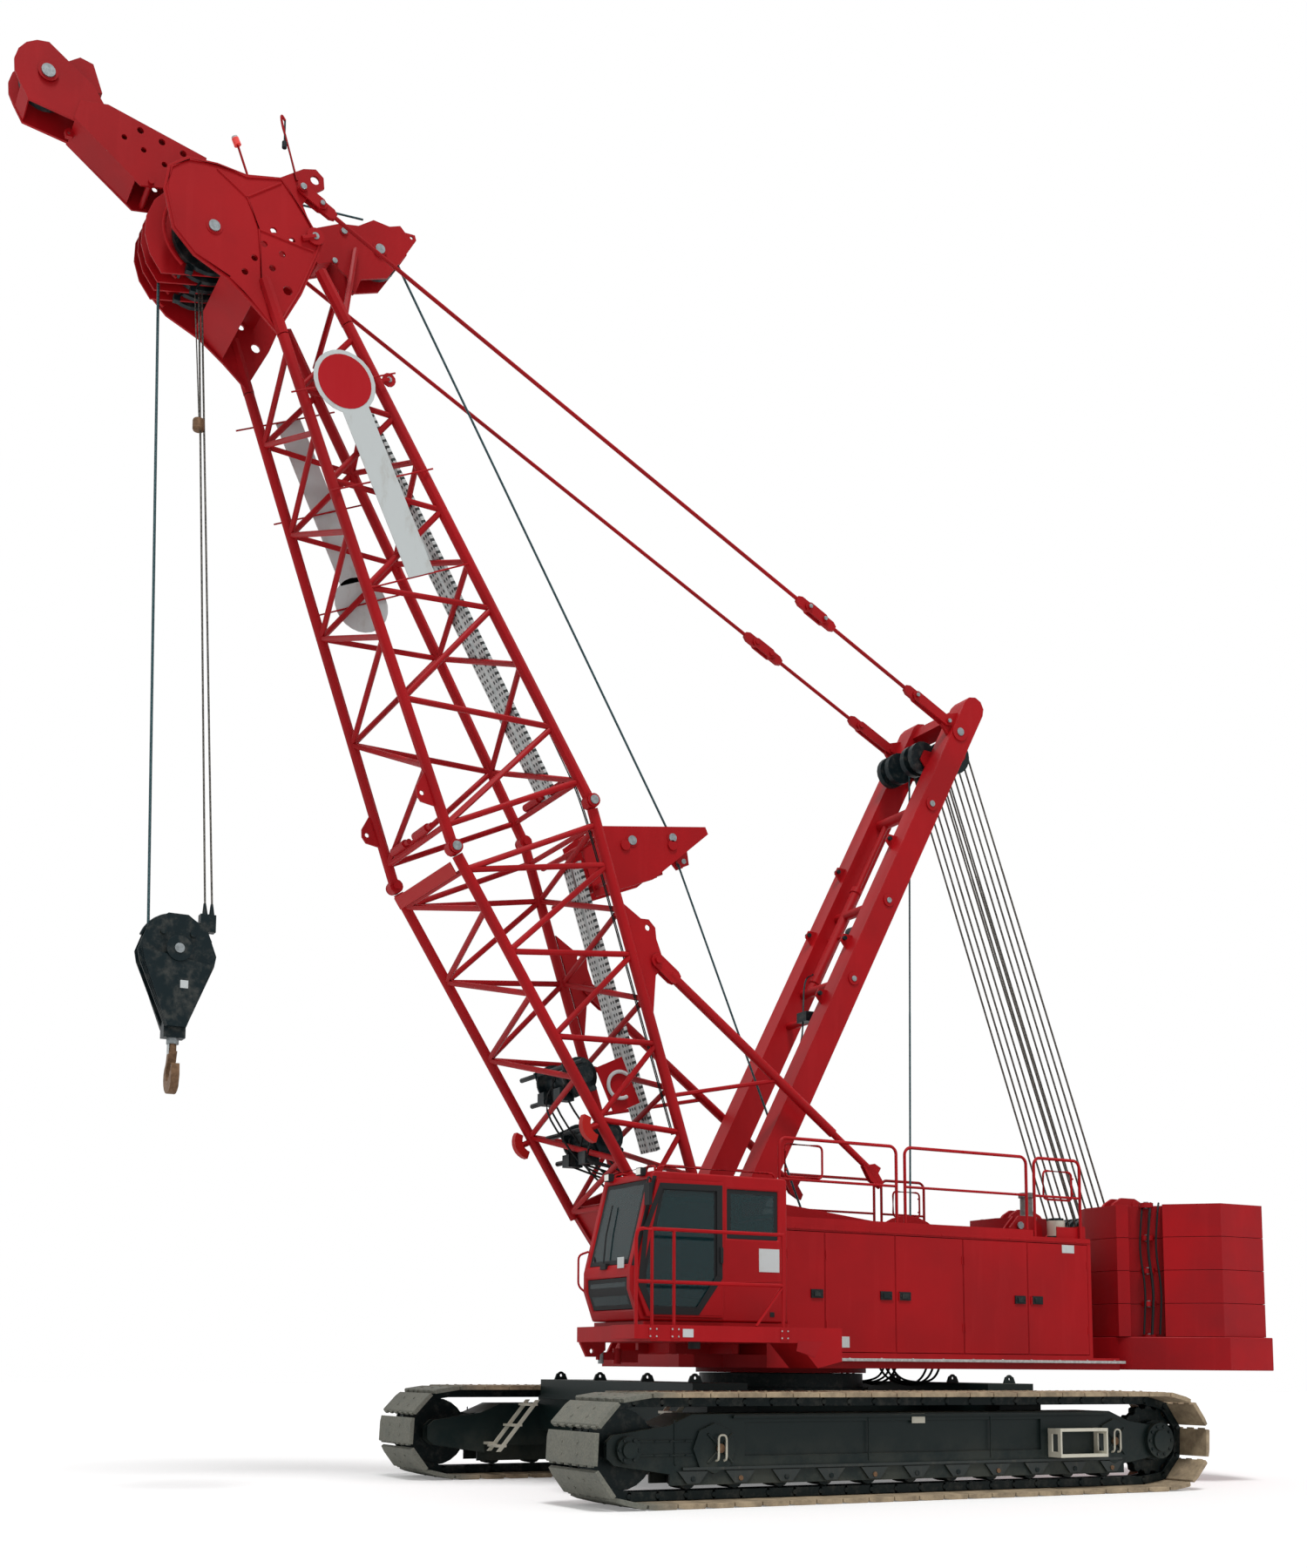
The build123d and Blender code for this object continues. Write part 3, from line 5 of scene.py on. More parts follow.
import bmesh
import bpy
from mathutils import Matrix, Vector


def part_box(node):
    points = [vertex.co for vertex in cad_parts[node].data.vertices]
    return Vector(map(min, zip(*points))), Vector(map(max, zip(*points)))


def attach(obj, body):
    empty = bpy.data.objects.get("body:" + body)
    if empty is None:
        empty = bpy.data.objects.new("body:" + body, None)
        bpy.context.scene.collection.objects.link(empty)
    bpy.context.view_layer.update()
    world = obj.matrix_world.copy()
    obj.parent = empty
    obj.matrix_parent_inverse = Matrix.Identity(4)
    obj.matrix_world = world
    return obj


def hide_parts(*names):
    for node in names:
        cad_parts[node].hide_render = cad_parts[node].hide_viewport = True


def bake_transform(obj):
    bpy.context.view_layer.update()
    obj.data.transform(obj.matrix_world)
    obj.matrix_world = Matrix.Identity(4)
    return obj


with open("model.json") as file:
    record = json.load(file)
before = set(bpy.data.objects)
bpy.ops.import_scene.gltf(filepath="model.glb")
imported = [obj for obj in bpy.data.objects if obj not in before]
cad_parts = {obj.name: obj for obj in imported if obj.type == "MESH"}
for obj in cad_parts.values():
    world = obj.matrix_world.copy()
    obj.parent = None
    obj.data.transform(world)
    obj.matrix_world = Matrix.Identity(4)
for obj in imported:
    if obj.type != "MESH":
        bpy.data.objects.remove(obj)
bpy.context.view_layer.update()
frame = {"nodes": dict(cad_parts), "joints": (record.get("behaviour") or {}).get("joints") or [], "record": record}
NODES = frame["nodes"]
RECORD = frame["record"]
BODY_OF = {node: body for body, nodes in RECORD["behaviour"]["bodies"].items() for node in nodes}
PIVOT = {j["name"]: Vector(j["pos_m"]) for j in frame["joints"] if "pos_m" in j}
SIDES = (1, -1)

# ------------------------------------------------------------------ sizes in metres
BOOM_ANGLE = math.radians(64.85)
MAST_ANGLE = math.radians(117.4)
TRACK_Y = 2.2845
TRACK_LOW, TRACK_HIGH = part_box("track_left")
END_RADIUS = (TRACK_HIGH[2] - TRACK_LOW[2]) / 2
STRAIGHT = TRACK_HIGH[0] - TRACK_LOW[0] - 2 * END_RADIUS
PIN_RADIUS = 0.447
SHOES = 52
SHOE_WIDTH = TRACK_HIGH[1] - TRACK_LOW[1]
# radii at which the ropes meet the sheaves, the rope guide's roller and the drums
NEST_SHEAVE, MASTHEAD_SHEAVE, DEFLECTOR_SHEAVE, MAST_GUIDE_SHEAVE = 0.235, 0.225, 0.235, 0.105
ROLLER_ABOVE, ROLLER_BELOW = 0.035, 0.040
FRONT_DRUM, REAR_DRUM = 0.345, 0.33
# radii of the ropes, and the reeving between the rear nest of sheaves and the mast's
HOIST_ROPE, LUFF_ROPE, HEAD_ROPE, FRONT_FALL, REAR_FALL = 0.0135, 0.0125, 0.0115, 0.0150, 0.0110
REEVING_LOWER, REEVING_UPPER = 0.0125, 0.0115
REEVING_PAIRS, REEVING_REACH = 6, 4.9
NEST_PITCH, MASTHEAD_PITCH = 0.12, 0.11
# a rope in two sliding parts: how far each part reaches, and how thin the second one is
PART_REACH, SECOND_PART = 0.52, 0.92
# middle of the rope guide's roller on the boom: s, t
ROPE_GUIDE = (4.80, -2.27)
# outer faces that carry fittings: y
TRACK_FRAME_FACE = 2.4945
HEAD_PLATE_FACE = 0.588
CAB_DOOR_FACE = 2.0955


def boom(s, t, y=0.0):
    """A point of the boom: s along it from its foot, t towards its underside."""
    foot = PIVOT["boom_luff"]
    return Vector((foot.x + s * math.cos(BOOM_ANGLE) + t * math.sin(BOOM_ANGLE), y,
                   foot.z + s * math.sin(BOOM_ANGLE) - t * math.cos(BOOM_ANGLE)))


def mast(m, n, y=0.0):
    """A point of the mast: m along it from its foot, n towards its front."""
    foot = PIVOT["mast_luff"]
    return Vector((foot.x + m * math.cos(MAST_ANGLE) + n * math.sin(MAST_ANGLE), y,
                   foot.z + m * math.sin(MAST_ANGLE) - n * math.cos(MAST_ANGLE)))


# ------------------------------------------------------------------ shader maths
class Number:
    """A socket that takes Python arithmetic; every step adds a Math node."""

    def __init__(self, finish, socket):
        self.finish, self.socket = finish, socket

    def _math(self, operation, first, second=None):
        node = self.finish.add("ShaderNodeMath", {"operation": operation}, {0: first, 1: second})
        return Number(self.finish, node.outputs[0])

    def __add__(self, other):
        return self._math("ADD", self, other)

    def __radd__(self, other):
        return self._math("ADD", other, self)

    def __sub__(self, other):
        return self._math("SUBTRACT", self, other)

    def __rsub__(self, other):
        return self._math("SUBTRACT", other, self)

    def __mul__(self, other):
        return self._math("MULTIPLY", self, other)

    def __rmul__(self, other):
        return self._math("MULTIPLY", other, self)

    def above(self, edge, soft=0.0):
        """1 over the edge and 0 under it, with a soft step if asked."""
        if not soft:
            return self._math("GREATER_THAN", self, edge)
        node = self.finish.add("ShaderNodeMapRange", {"interpolation_type": "SMOOTHSTEP"},
                               {0: self, 1: edge - soft, 2: edge + soft})
        return Number(self.finish, node.outputs[0])

    def fraction(self):
        """The part behind the decimal point, which repeats a pattern."""
        return self._math("FRACT", self)

class Finish:
    """A material with a Principled shader, and the nodes that vary it over the surface."""

    def __init__(self, name, colour, roughness, metallic=0.0, **fixed):
        self.material = bpy.data.materials.new(name)
        self.material.use_nodes = True
        self.tree = self.material.node_tree
        self.shader = self.tree.nodes["Principled BSDF"]
        self.place = self.tree.nodes.new("ShaderNodeTexCoord").outputs["Object"]
        self.put("Base Color", (*colour, 1.0))
        self.put("Roughness", roughness)
        self.put("Metallic", metallic)
        for socket, value in fixed.items():
            self.put(socket.replace("_", " "), value)

    def plug(self, socket, value):
        """Links a socket to a Number or another socket, or gives it a plain value."""
        if isinstance(value, Number):
            value = value.socket
        if isinstance(value, bpy.types.NodeSocket):
            self.tree.links.new(value, socket)
        elif value is not None:
            socket.default_value = value

    def add(self, kind, settings=(), sockets=()):
        """A node of a kind, its settings first and then the values or links of its sockets."""
        node = self.tree.nodes.new(kind)
        for name, value in dict(settings).items():
            setattr(node, name, value)
        for name, value in dict(sockets).items():
            self.plug(node.inputs[name], value)
        return node

    def put(self, socket, value):
        """Sets or links an input of the Principled shader."""
        self.plug(self.shader.inputs[socket], value)

    def spot(self, scale=(1, 1, 1), turn=(0, 0, 0)):
        """Object coordinates, turned and scaled."""
        return self.add("ShaderNodeMapping", {},
                        {"Vector": self.place, "Rotation": turn, "Scale": scale}).outputs[0]

    def axis(self, name, vector=None):
        """X, Y or Z of a vector, which is the place on the object unless one is given."""
        node = self.add("ShaderNodeSeparateXYZ", {}, {0: vector or self.place})
        return Number(self, node.outputs["XYZ".index(name)])

    def noise(self, scale, detail=3.0, rough=0.55, stretch=(1, 1, 1)):
        """Clouded values round 0.5."""
        node = self.add("ShaderNodeTexNoise", {},
                        {"Vector": self.spot(stretch), "Scale": scale, "Detail": detail,
                         "Roughness": rough})
        return Number(self, node.outputs[0])

    def upward(self):
        """1 where the surface looks up, 0 where it looks down."""
        normal = self.add("ShaderNodeNewGeometry").outputs["Normal"]
        return self.axis("Z", normal)

    def tint(self, factor, first, second):
        """A colour between two others."""
        node = self.add("ShaderNodeMix", {"data_type": "RGBA"},
                        {0: factor, 6: first if not isinstance(first, tuple) else (*first, 1),
                         7: second if not isinstance(second, tuple) else (*second, 1)})
        return node.outputs[2]

    def bump(self, height, depth):
        """Relief in the shading, depth metres for a height of 1."""
        node = self.add("ShaderNodeBump", {}, {"Height": height, "Distance": depth, "Strength": 1.0})
        self.put("Normal", node.outputs[0])


# ------------------------------------------------------------------ finishes
RED = (0.43, 0.004, 0.008)
RED_DEEP = (0.31, 0.003, 0.006)
RED_PALE = (0.47, 0.014, 0.018)
DUST = (0.42, 0.34, 0.235)
TEAL_BLACK = (0.0015, 0.010, 0.0105)


def red_paint(name="red_paint", deep=RED_DEEP, cast=0.0):
    """Glossy red enamel, a little uneven, paler where it looks up for chalking and painted sheen, with thin run
    marks.
    """
    paint = Finish(name, RED, 0.45, Specular_IOR_Level=0.18)
    cloud = paint.noise(0.9, 4.0)
    runs = paint.noise(7.0, 3.0, 0.6, (1, 1, 0.12)).above(0.60, 0.07)
    colour = paint.tint(cloud.above(0.5, 0.28), deep, RED)
    colour = paint.tint(runs * 0.16, colour, RED_PALE)
    # chalking and painted sheen: surfaces that look up are tinted paler
    chalk_and_sheen = paint.upward().above(0.75, 0.2) * paint.noise(3.0, 3.0)
    colour = paint.tint(chalk_and_sheen * 0.35, colour, RED_PALE)
    paint.put("Base Color", colour)
    paint.put("Roughness", 0.42 + cloud * 0.16 + chalk_and_sheen * 0.2)
    if cast:
        paint.bump(paint.noise(26.0, 3.0) + paint.noise(3.0, 2.0) * 2.0, cast)
    else:
        paint.bump(paint.noise(34.0, 2.0), 0.0006)
    return paint.material


def undercarriage_paint():
    """Near-black teal enamel with pale dust on every ledge and low down."""
    paint = Finish("undercarriage_paint", TEAL_BLACK, 0.45, Specular_IOR_Level=0.22)
    cloud = paint.noise(2.2, 5.0, 0.65)
    ledge = paint.upward().above(0.55, 0.2)
    low = 1.0 - paint.axis("Z").above(0.42, 0.34)
    grime = (ledge * 0.55 + low * 0.30) * cloud.above(0.46, 0.16) + cloud * 0.05
    paint.put("Base Color", paint.tint(grime, TEAL_BLACK, (0.15, 0.15, 0.12)))
    paint.put("Roughness", 0.42 + grime * 0.45)
    paint.bump(paint.noise(60.0, 3.0), 0.0008)
    return paint.material


def shoe_steel():
    """Cast shoes under dried mud: tan, and bluish grey towards the front, painted light for their lit faces."""
    steel = Finish("shoe_steel", DUST, 0.85)
    mud = steel.noise(5.0, 6.0, 0.7)
    fine = steel.noise(42.0, 4.0, 0.7)
    # painted light: towards the front the shoes turn bluish grey for their lit faces
    front = steel.axis("X").above(3.15, 0.35)
    lit_grey = steel.tint(fine.above(0.5, 0.2), (0.085, 0.108, 0.098), (0.165, 0.18, 0.16))
    tan = steel.tint(mud.above(0.5, 0.22), (0.20, 0.15, 0.095), (0.50, 0.38, 0.24))
    steel.put("Base Color", steel.tint(front * 0.75 + mud * 0.18, tan, lit_grey))
    steel.put("Roughness", 0.7 + fine * 0.25)
    steel.bump(mud * 1.5 + fine, 0.004)
    return steel.material


def greased_steel(name="greased_steel", colour=(0.006, 0.014, 0.016), roughness=0.4):
    """Dark turned steel with grease, a little dust caught in it."""
    steel = Finish(name, colour, roughness, 0.35, Specular_IOR_Level=0.25)
    cloud = steel.noise(9.0, 5.0, 0.65)
    steel.put("Base Color", steel.tint(cloud.above(0.6, 0.15) * 0.5, colour, (0.10, 0.10, 0.09)))
    steel.put("Roughness", 0.3 + cloud * 0.35)
    steel.bump(cloud, 0.0015)
    return steel.material


def bright_steel(name="bright_steel", colour=(0.50, 0.51, 0.50), roughness=0.35):
    """Bare metal, a little uneven in colour and gloss."""
    steel = Finish(name, colour, roughness, 0.85)
    grain = steel.noise(30.0, 3.0)
    steel.put("Base Color", steel.tint(grain.above(0.5, 0.2), colour,
                                       tuple(0.7 * c for c in colour)))
    steel.put("Roughness", roughness + grain * 0.2)
    return steel.material


def pale_paint(name, colour, stain=(0.36, 0.33, 0.28)):
    """Flat pale enamel with faint stains."""
    paint = Finish(name, colour, 0.5)
    dirt = paint.noise(6.0, 5.0, 0.7, (1, 1, 0.4))
    paint.put("Base Color", paint.tint(dirt.above(0.62, 0.12) * 0.45, colour, stain))
    paint.put("Roughness", 0.42 + dirt * 0.25)
    return paint.material


def tinted_glass():
    """Dark green cab glass with faint smears."""
    glass = Finish("tinted_glass", (0.004, 0.030, 0.034), 0.05, Alpha=0.66,
                   Specular_IOR_Level=0.36)
    smear = glass.noise(4.0, 4.0)
    glass.put("Roughness", 0.03 + smear * 0.06)
    return glass.material


def black_rubber(name="black_rubber", colour=(0.012, 0.013, 0.014)):
    """Dull black rubber or seat cloth with a fine grain."""
    rubber = Finish(name, colour, 0.6, Specular_IOR_Level=0.22)
    grain = rubber.noise(90.0, 2.0)
    rubber.put("Roughness", 0.5 + grain * 0.25)
    rubber.bump(grain, 0.0006)
    return rubber.material


def wire_rope(name, colour, rubbed):
    """Steel rope: dark grease, with wires rubbed clean here and there."""
    wire = Finish(name, colour, 0.5, 0.4)
    strands = wire.noise(70.0, 2.0)
    wire.put("Base Color", wire.tint(strands.above(0.5, 0.12), colour, rubbed))
    wire.bump(strands, 0.002)
    return wire.material


def perforated_walkway():
    """Galvanised tread strips pierced by rows of round holes, which are painted near-black as painted shade."""
    holes_along, holes_across, hole_size = 14.0, 18.0, 0.075
    tread = Finish("perforated_walkway", (0.42, 0.45, 0.45), 0.45, 0.55)
    turned = tread.spot((1, 1, 1), (0, BOOM_ANGLE, 0))
    along = (tread.axis("X", turned) * holes_along).fraction() - 0.5
    across = (tread.axis("Y") * holes_across + 0.25).fraction() - 0.5
    hole = 1.0 - (along * along + across * across).above(hole_size, 0.012)
    age = tread.noise(12.0, 4.0)
    metal = tread.tint(age.above(0.5, 0.2), (0.40, 0.43, 0.43), (0.55, 0.57, 0.56))
    # painted shade: the holes are near-black for the shade seen through them
    tread.put("Base Color", tread.tint(hole, metal, (0.03, 0.035, 0.035)))
    tread.put("Roughness", 0.4 + age * 0.2)
    tread.bump(0.0 - hole, 0.004)
    return tread.material


def lamp_glow(name, colour, strength):
    """A lens that glows faintly under a clear coat."""
    lamp = Finish(name, colour, 0.2, Coat_Weight=0.6)
    lamp.put("Emission Color", (*colour, 1))
    lamp.put("Emission Strength", strength)
    return lamp.material


# finishes by name: the frame's slots, and those of small fittings and ropes
FINISH = {
    "red": red_paint(),
    # a lit copy of the red paint, paler and more orange: painted sunlight
    "red_pale": red_paint("sunlit_red", (0.44, 0.020, 0.010)),
    "pin_steel": bright_steel("pin_steel", (0.30, 0.33, 0.34), 0.45),
    "dusty_black": pale_paint("dusty_black", (0.010, 0.017, 0.016), (0.09, 0.085, 0.065)),
    "dark_red": red_paint("cast_red_paint", (0.27, 0.006, 0.010), 0.0012),
    "frame_black": undercarriage_paint(),
    "shoe_steel": shoe_steel(),
    "wheel_steel": greased_steel("wheel_steel", (0.006, 0.013, 0.014), 0.5),
    "sheave_dark": greased_steel(),
    "bright_steel": bright_steel(),
    "exhaust_dark": bright_steel("heat_stained_steel", (0.20, 0.19, 0.18), 0.5),
    "walkway": perforated_walkway(),
    "step_white": pale_paint("step_cream", (0.62, 0.60, 0.50)),
    "board_white": pale_paint("board_white", (0.58, 0.62, 0.62)),
    "glass": tinted_glass(),
    "seat_black": black_rubber("seat_cloth", (0.02, 0.022, 0.025)),
    "rubber": black_rubber(),
    "hook_black": greased_steel("hook_block_paint", (0.003, 0.011, 0.014), 0.4),
    "hook_bronze": bright_steel("worn_bronze", (0.22, 0.13, 0.075), 0.5),
    "rope_dark": wire_rope("hoist_rope", (0.006, 0.035, 0.045), (0.05, 0.11, 0.12)),
    "rope_steel": wire_rope("reeving_rope", (0.035, 0.035, 0.03), (0.17, 0.16, 0.14)),
    "disc_red": red_paint("disc_red", (0.46, 0.006, 0.014)),
    "beacon": lamp_glow("beacon_red", (0.75, 0.03, 0.02), 0.3),
    "lamp": lamp_glow("lamp_lens", (0.75, 0.75, 0.7), 0.2),
}


# ------------------------------------------------------------------ making pieces
def finish_piece(name, bm, finish, body, bevel=0.0, smooth=40.0, normals=True):
    """Turns a bmesh into a piece, which rides on a body if one is given.

    finish is one name in FINISH or several, and normals is False for a copy of a CAD mesh.
    """
    if normals:
        bmesh.ops.recalc_face_normals(bm, faces=bm.faces)
    for edge in bm.edges:
        edge.smooth = edge.calc_face_angle(0.0) < math.radians(smooth)
    for face in bm.faces:
        face.smooth = True
    mesh = bpy.data.meshes.new(name)
    bm.to_mesh(mesh)
    bm.free()
    piece = bpy.data.objects.new(name, mesh)
    bpy.context.scene.collection.objects.link(piece)
    for one in [finish] if isinstance(finish, str) else finish:
        mesh.materials.append(FINISH[one])
    if bevel:
        rounding = piece.modifiers.new("rounding", "BEVEL")
        rounding.width = bevel
        rounding.segments = 2
        rounding.limit_method = "ANGLE"
        rounding.angle_limit = math.radians(max(smooth, 40.0) + 6)
        rounding.use_clamp_overlap = True
    if body:
        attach(piece, body)
    return piece


def block(bm, low, high):
    """A box between two corners."""
    low, high = Vector(low), Vector(high)
    size = high - low
    place = Matrix.Translation((low + high) / 2) @ Matrix.Diagonal((*[abs(v) for v in size], 1))
    bmesh.ops.create_cube(bm, size=1.0, matrix=place)


def bar(bm, start, end, radius, sides=10, material=0, tip=None):
    """A round bar between two points, narrowing to tip if given."""
    start, end = Vector(start), Vector(end)
    line = end - start
    place = Matrix.Translation((start + end) / 2) @ line.to_track_quat("Z", "Y").to_matrix().to_4x4()
    made = bmesh.ops.create_cone(bm, cap_ends=True, segments=sides, radius1=radius,
                                 radius2=radius if tip is None else tip, depth=line.length,
                                 matrix=place)
    paint(made["verts"], material)


def paint(verts, material):
    """Gives a material's number to the faces that meet at the vertices."""
    if material:
        for face in {f for v in verts for f in v.link_faces}:
            face.material_index = material


def rail(bm, points, radius, sides=8):
    """A bent round rail through the points, its corners mitred."""
    points = [Vector(p) for p in points]
    rings = []
    for i, point in enumerate(points):
        into = (point - points[i - 1]).normalized() if i else None
        out = (points[i + 1] - point).normalized() if i + 1 < len(points) else None
        line = (into or out) if into is None or out is None else (into + out).normalized()
        turn = line.to_track_quat("Z", "Y").to_matrix().to_4x4()
        made = bmesh.ops.create_circle(bm, cap_ends=False, segments=sides, radius=radius,
                                       matrix=Matrix.Translation(point) @ turn)
        rings.append(made["verts"])
    for one, two in zip(rings, rings[1:]):
        start = min(range(sides), key=lambda k: (two[k].co - one[0].co).length)
        order = two[start:] + two[:start]
        if (order[1].co - one[1].co).length > (order[-1].co - one[1].co).length:
            order = [order[0]] + order[:0:-1]
        for k in range(sides):
            bm.faces.new((one[k], one[(k + 1) % sides], order[(k + 1) % sides], order[k]))
    for ring in (rings[0], rings[-1]):
        bm.faces.new(ring)


def outline(bm, points, thickness, material=0):
    """A flat plate from its outline in space, given its thickness as a vector."""
    verts = [bm.verts.new(p) for p in points]
    face = bm.faces.new(verts)
    face.material_index = material
    grown = bmesh.ops.extrude_face_region(bm, geom=[face])
    moved = [g for g in grown["geom"] if isinstance(g, bmesh.types.BMVert)]
    bmesh.ops.translate(bm, verts=moved, vec=thickness)
    paint(moved, material)


# ------------------------------------------------------------------ the CAD pieces, softened
def welded(node):
    """A bmesh of a CAD piece, its loose triangles joined into flat faces."""
    bm = bmesh.new()
    bm.from_mesh(NODES[node].data)
    bmesh.ops.remove_doubles(bm, verts=bm.verts, dist=2e-5)
    bmesh.ops.dissolve_limit(bm, angle_limit=math.radians(0.6), verts=bm.verts, edges=bm.edges)
    return bm


def dress(node, bevel, smooth):
    """A copy of a CAD piece with its edges rounded, which stands for it."""
    slot = next(p["material_slot"] for p in RECORD["subparts"] if p["node"] == node)
    piece = finish_piece(node + "_finished", welded(node), slot, BODY_OF[node], bevel, smooth,
                         normals=False)
    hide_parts(node)


# how far edges are rounded, and up to which angle a surface is shaded smooth
BEVEL, SMOOTH = 0.003, 42.0
BEVELS = {"boom_butt": 0, "boom_top": 0, "deck_rails": 0, "counterweight_slabs": 0.012,
          "counterweight_tray": 0.012, "mast": 0.010, "cab_shell": 0.018, "rotating_bed": 0.006,
          "carbody": 0.008, "hook": 0.02, "track_frame_left": 0.008, "track_frame_right": 0.008,
          "housing_left": 0.012, "housing_right": 0.012, "cab_seat": 0.03, "hook_block": 0.006}
SMOOTHS = {"boom_butt": 62.0, "boom_top": 62.0, "deck_rails": 62.0, "pendants": 62.0}
# nodes that a piece of their own stands for
REMADE = ("track_left", "track_right", "cab_glass", "cab_door_glass", "sign_boards",
          "reeving_lower", "reeving_upper")
PANE_AREA, PRINTED_BORDER = 0.05, 0.045


def dress_all():
    for node in NODES:
        if node not in REMADE:
            dress(node, BEVELS.get(node, BEVEL), SMOOTHS.get(node, SMOOTH))


def glaze(node):
    """Panes with a black printed border round each."""
    bm = welded(node)
    panes = [f for f in bm.faces if f.calc_area() > PANE_AREA]
    for face in bm.faces:
        face.material_index = 1
    for pane in panes:
        pane.material_index = 0
        rim = bmesh.ops.inset_region(bm, faces=[pane], thickness=PRINTED_BORDER,
                                     use_even_offset=True)
        for face in rim["faces"]:
            face.material_index = 1
    piece = finish_piece(node + "_glazed", bm, ("glass", "rubber"), BODY_OF[node], 0, 30,
                         normals=False)
    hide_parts(node)


# ------------------------------------------------------------------ tracks
def loop_at(length):
    """Point of the pin line at a length along it, top run first."""
    arc, half = math.pi * PIN_RADIUS, STRAIGHT / 2
    length %= 2 * STRAIGHT + 2 * arc
    if length < STRAIGHT:
        return Vector((half - length, 0, END_RADIUS + PIN_RADIUS))
    length -= STRAIGHT
    if length < arc:
        return round_end(-half, math.pi / 2 + length / PIN_RADIUS)
    length -= arc
    if length < STRAIGHT:
        return Vector((-half + length, 0, END_RADIUS - PIN_RADIUS))
    return round_end(half, -math.pi / 2 + (length - STRAIGHT) / PIN_RADIUS)


def round_end(x, angle):
    """Point of the pin line round the wheel at x."""
    return Vector((x + PIN_RADIUS * math.cos(angle), 0, END_RADIUS + PIN_RADIUS * math.sin(angle)))


def one_shoe(pitch):
    """A cast shoe: X along the track, Z outwards from the pin line, Y across."""
    bm = bmesh.new()
    reach = END_RADIUS - PIN_RADIUS
    half, wide = pitch / 2 - 0.006, SHOE_WIDTH / 2
    profile = [(-half, reach - 0.050), (-half, reach - 0.012), (-half + 0.075, reach),
               (half - 0.012, reach), (half, reach - 0.012), (half, reach - 0.050)]
    outline(bm, [(x, -wide, z) for x, z in profile], Vector((0, 2 * wide, 0)))
    # interlocking tabs along the leading edge, bolt heads and the two chain links
    for k in range(6):
        y = -0.40 + 0.16 * k
        block(bm, (half - 0.004, y - 0.04, reach - 0.045), (half + 0.016, y + 0.04, reach - 0.010))
    for side in SIDES:
        for x in (-0.055, 0.055):
            bar(bm, (x, side * 0.16, reach - 0.004), (x, side * 0.16, reach + 0.008), 0.017, 6)
            bar(bm, (x, side * 0.40, reach - 0.004), (x, side * 0.40, reach + 0.003), 0.014, 6)
        outline(bm, [(x, side * 0.09 - 0.02, z) for x, z in
                     ((-half - 0.02, -0.045), (half + 0.02, -0.045), (half + 0.035, 0),
                      (half + 0.02, 0.045), (-half - 0.02, 0.045), (-half - 0.035, 0))],
                Vector((0, 0.04, 0)), 1)
    bar(bm, (-pitch / 2, -0.118, 0), (-pitch / 2, 0.118, 0), 0.028, 8, 1)
    bmesh.ops.recalc_face_normals(bm, faces=bm.faces)
    mesh = bpy.data.meshes.new("shoe")
    bm.to_mesh(mesh)
    bm.free()
    return mesh


def tracks():
    """The shoes round each track, one between two pins, which stand for the CAD track."""
    length = 2 * STRAIGHT + 2 * math.pi * PIN_RADIUS
    first_pin = 0.35
    shoe = one_shoe(length / SHOES)
    for word, side in (("left", 1), ("right", -1)):
        bm = bmesh.new()
        for k in range(SHOES):
            back = loop_at(length * (k + first_pin) / SHOES)
            front = loop_at(length * (k + first_pin + 1) / SHOES)
            middle = (back + front) / 2
            run = (back - front).normalized()
            out = Vector((-run.z, 0, run.x))
            turn = Matrix((run, Vector((0, 1, 0)), out)).transposed().to_4x4()
            place = Matrix.Translation(middle + Vector((0, side * TRACK_Y, 0))) @ turn
            fresh = len(bm.verts)
            bm.from_mesh(shoe)
            bm.verts.ensure_lookup_table()
            bmesh.ops.transform(bm, matrix=place, verts=bm.verts[fresh:])
        piece = finish_piece(f"track_{word}_shoes", bm, ("shoe_steel", "wheel_steel"),
                             "undercarriage", 0.004, 30)
        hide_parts(f"track_{word}")


# ------------------------------------------------------------------ ropes
def rope(name, lines, radius, finish, body):
    """Taut rope parts, each a straight run between two points."""
    bm = bmesh.new()
    for start, end in lines:
        bar(bm, start, end, radius, 8)
    return finish_piece(name, bm, finish, body, smooth=60)


def tangent(centre1, radius1, centre2, radius2, side):
    """The line that touches two sheaves on the same side; side is 1 or -1."""
    span = centre2 - centre1
    flat = math.hypot(span.x, span.z)
    lean = math.atan2(span.z, span.x)
    a = lean + side * (math.pi / 2 + math.asin((radius2 - radius1) / flat))
    out = Vector((math.cos(a), 0, math.sin(a)))
    return centre1 + out * radius1, centre2 + out * radius2


def halves(name, ends, radius, bodies):
    """Taut rope in two parts that slide past each other as their bodies turn."""
    start, end = ends
    span = end - start
    reach = span.normalized() * (span.length * PART_REACH)
    rope(name + "_lower", [(start, start + reach)], radius, "rope_dark", bodies[0])
    rope(name + "_upper", [(end, end - reach)], radius * SECOND_PART, "rope_dark", bodies[1])


def reeving():
    """The boom hoist's rope parts, one length from each nest of sheaves."""
    nest, masthead = PIVOT["nest_swing"], PIVOT["mast_nest_swing"]
    lower, upper = [], []
    for k in range(REEVING_PAIRS):
        place = k - (REEVING_PAIRS - 1) / 2
        for side in SIDES:
            start, end = tangent(nest, NEST_SHEAVE, masthead, MASTHEAD_SHEAVE, side)
            start = start + Vector((0, NEST_PITCH * place, 0))
            end = end + Vector((0, MASTHEAD_PITCH * place, 0))
            reach = (end - start).normalized() * REEVING_REACH
            lower.append((start, start + reach))
            upper.append((end, end - reach))
    for node, lines, radius, body in (
            ("reeving_lower", lower, REEVING_LOWER, "nest_sheaves"),
            ("reeving_upper", upper, REEVING_UPPER, "mast_sheaves")):
        piece = rope(node + "_ropes", lines, radius, "rope_steel", body)
        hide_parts(node)


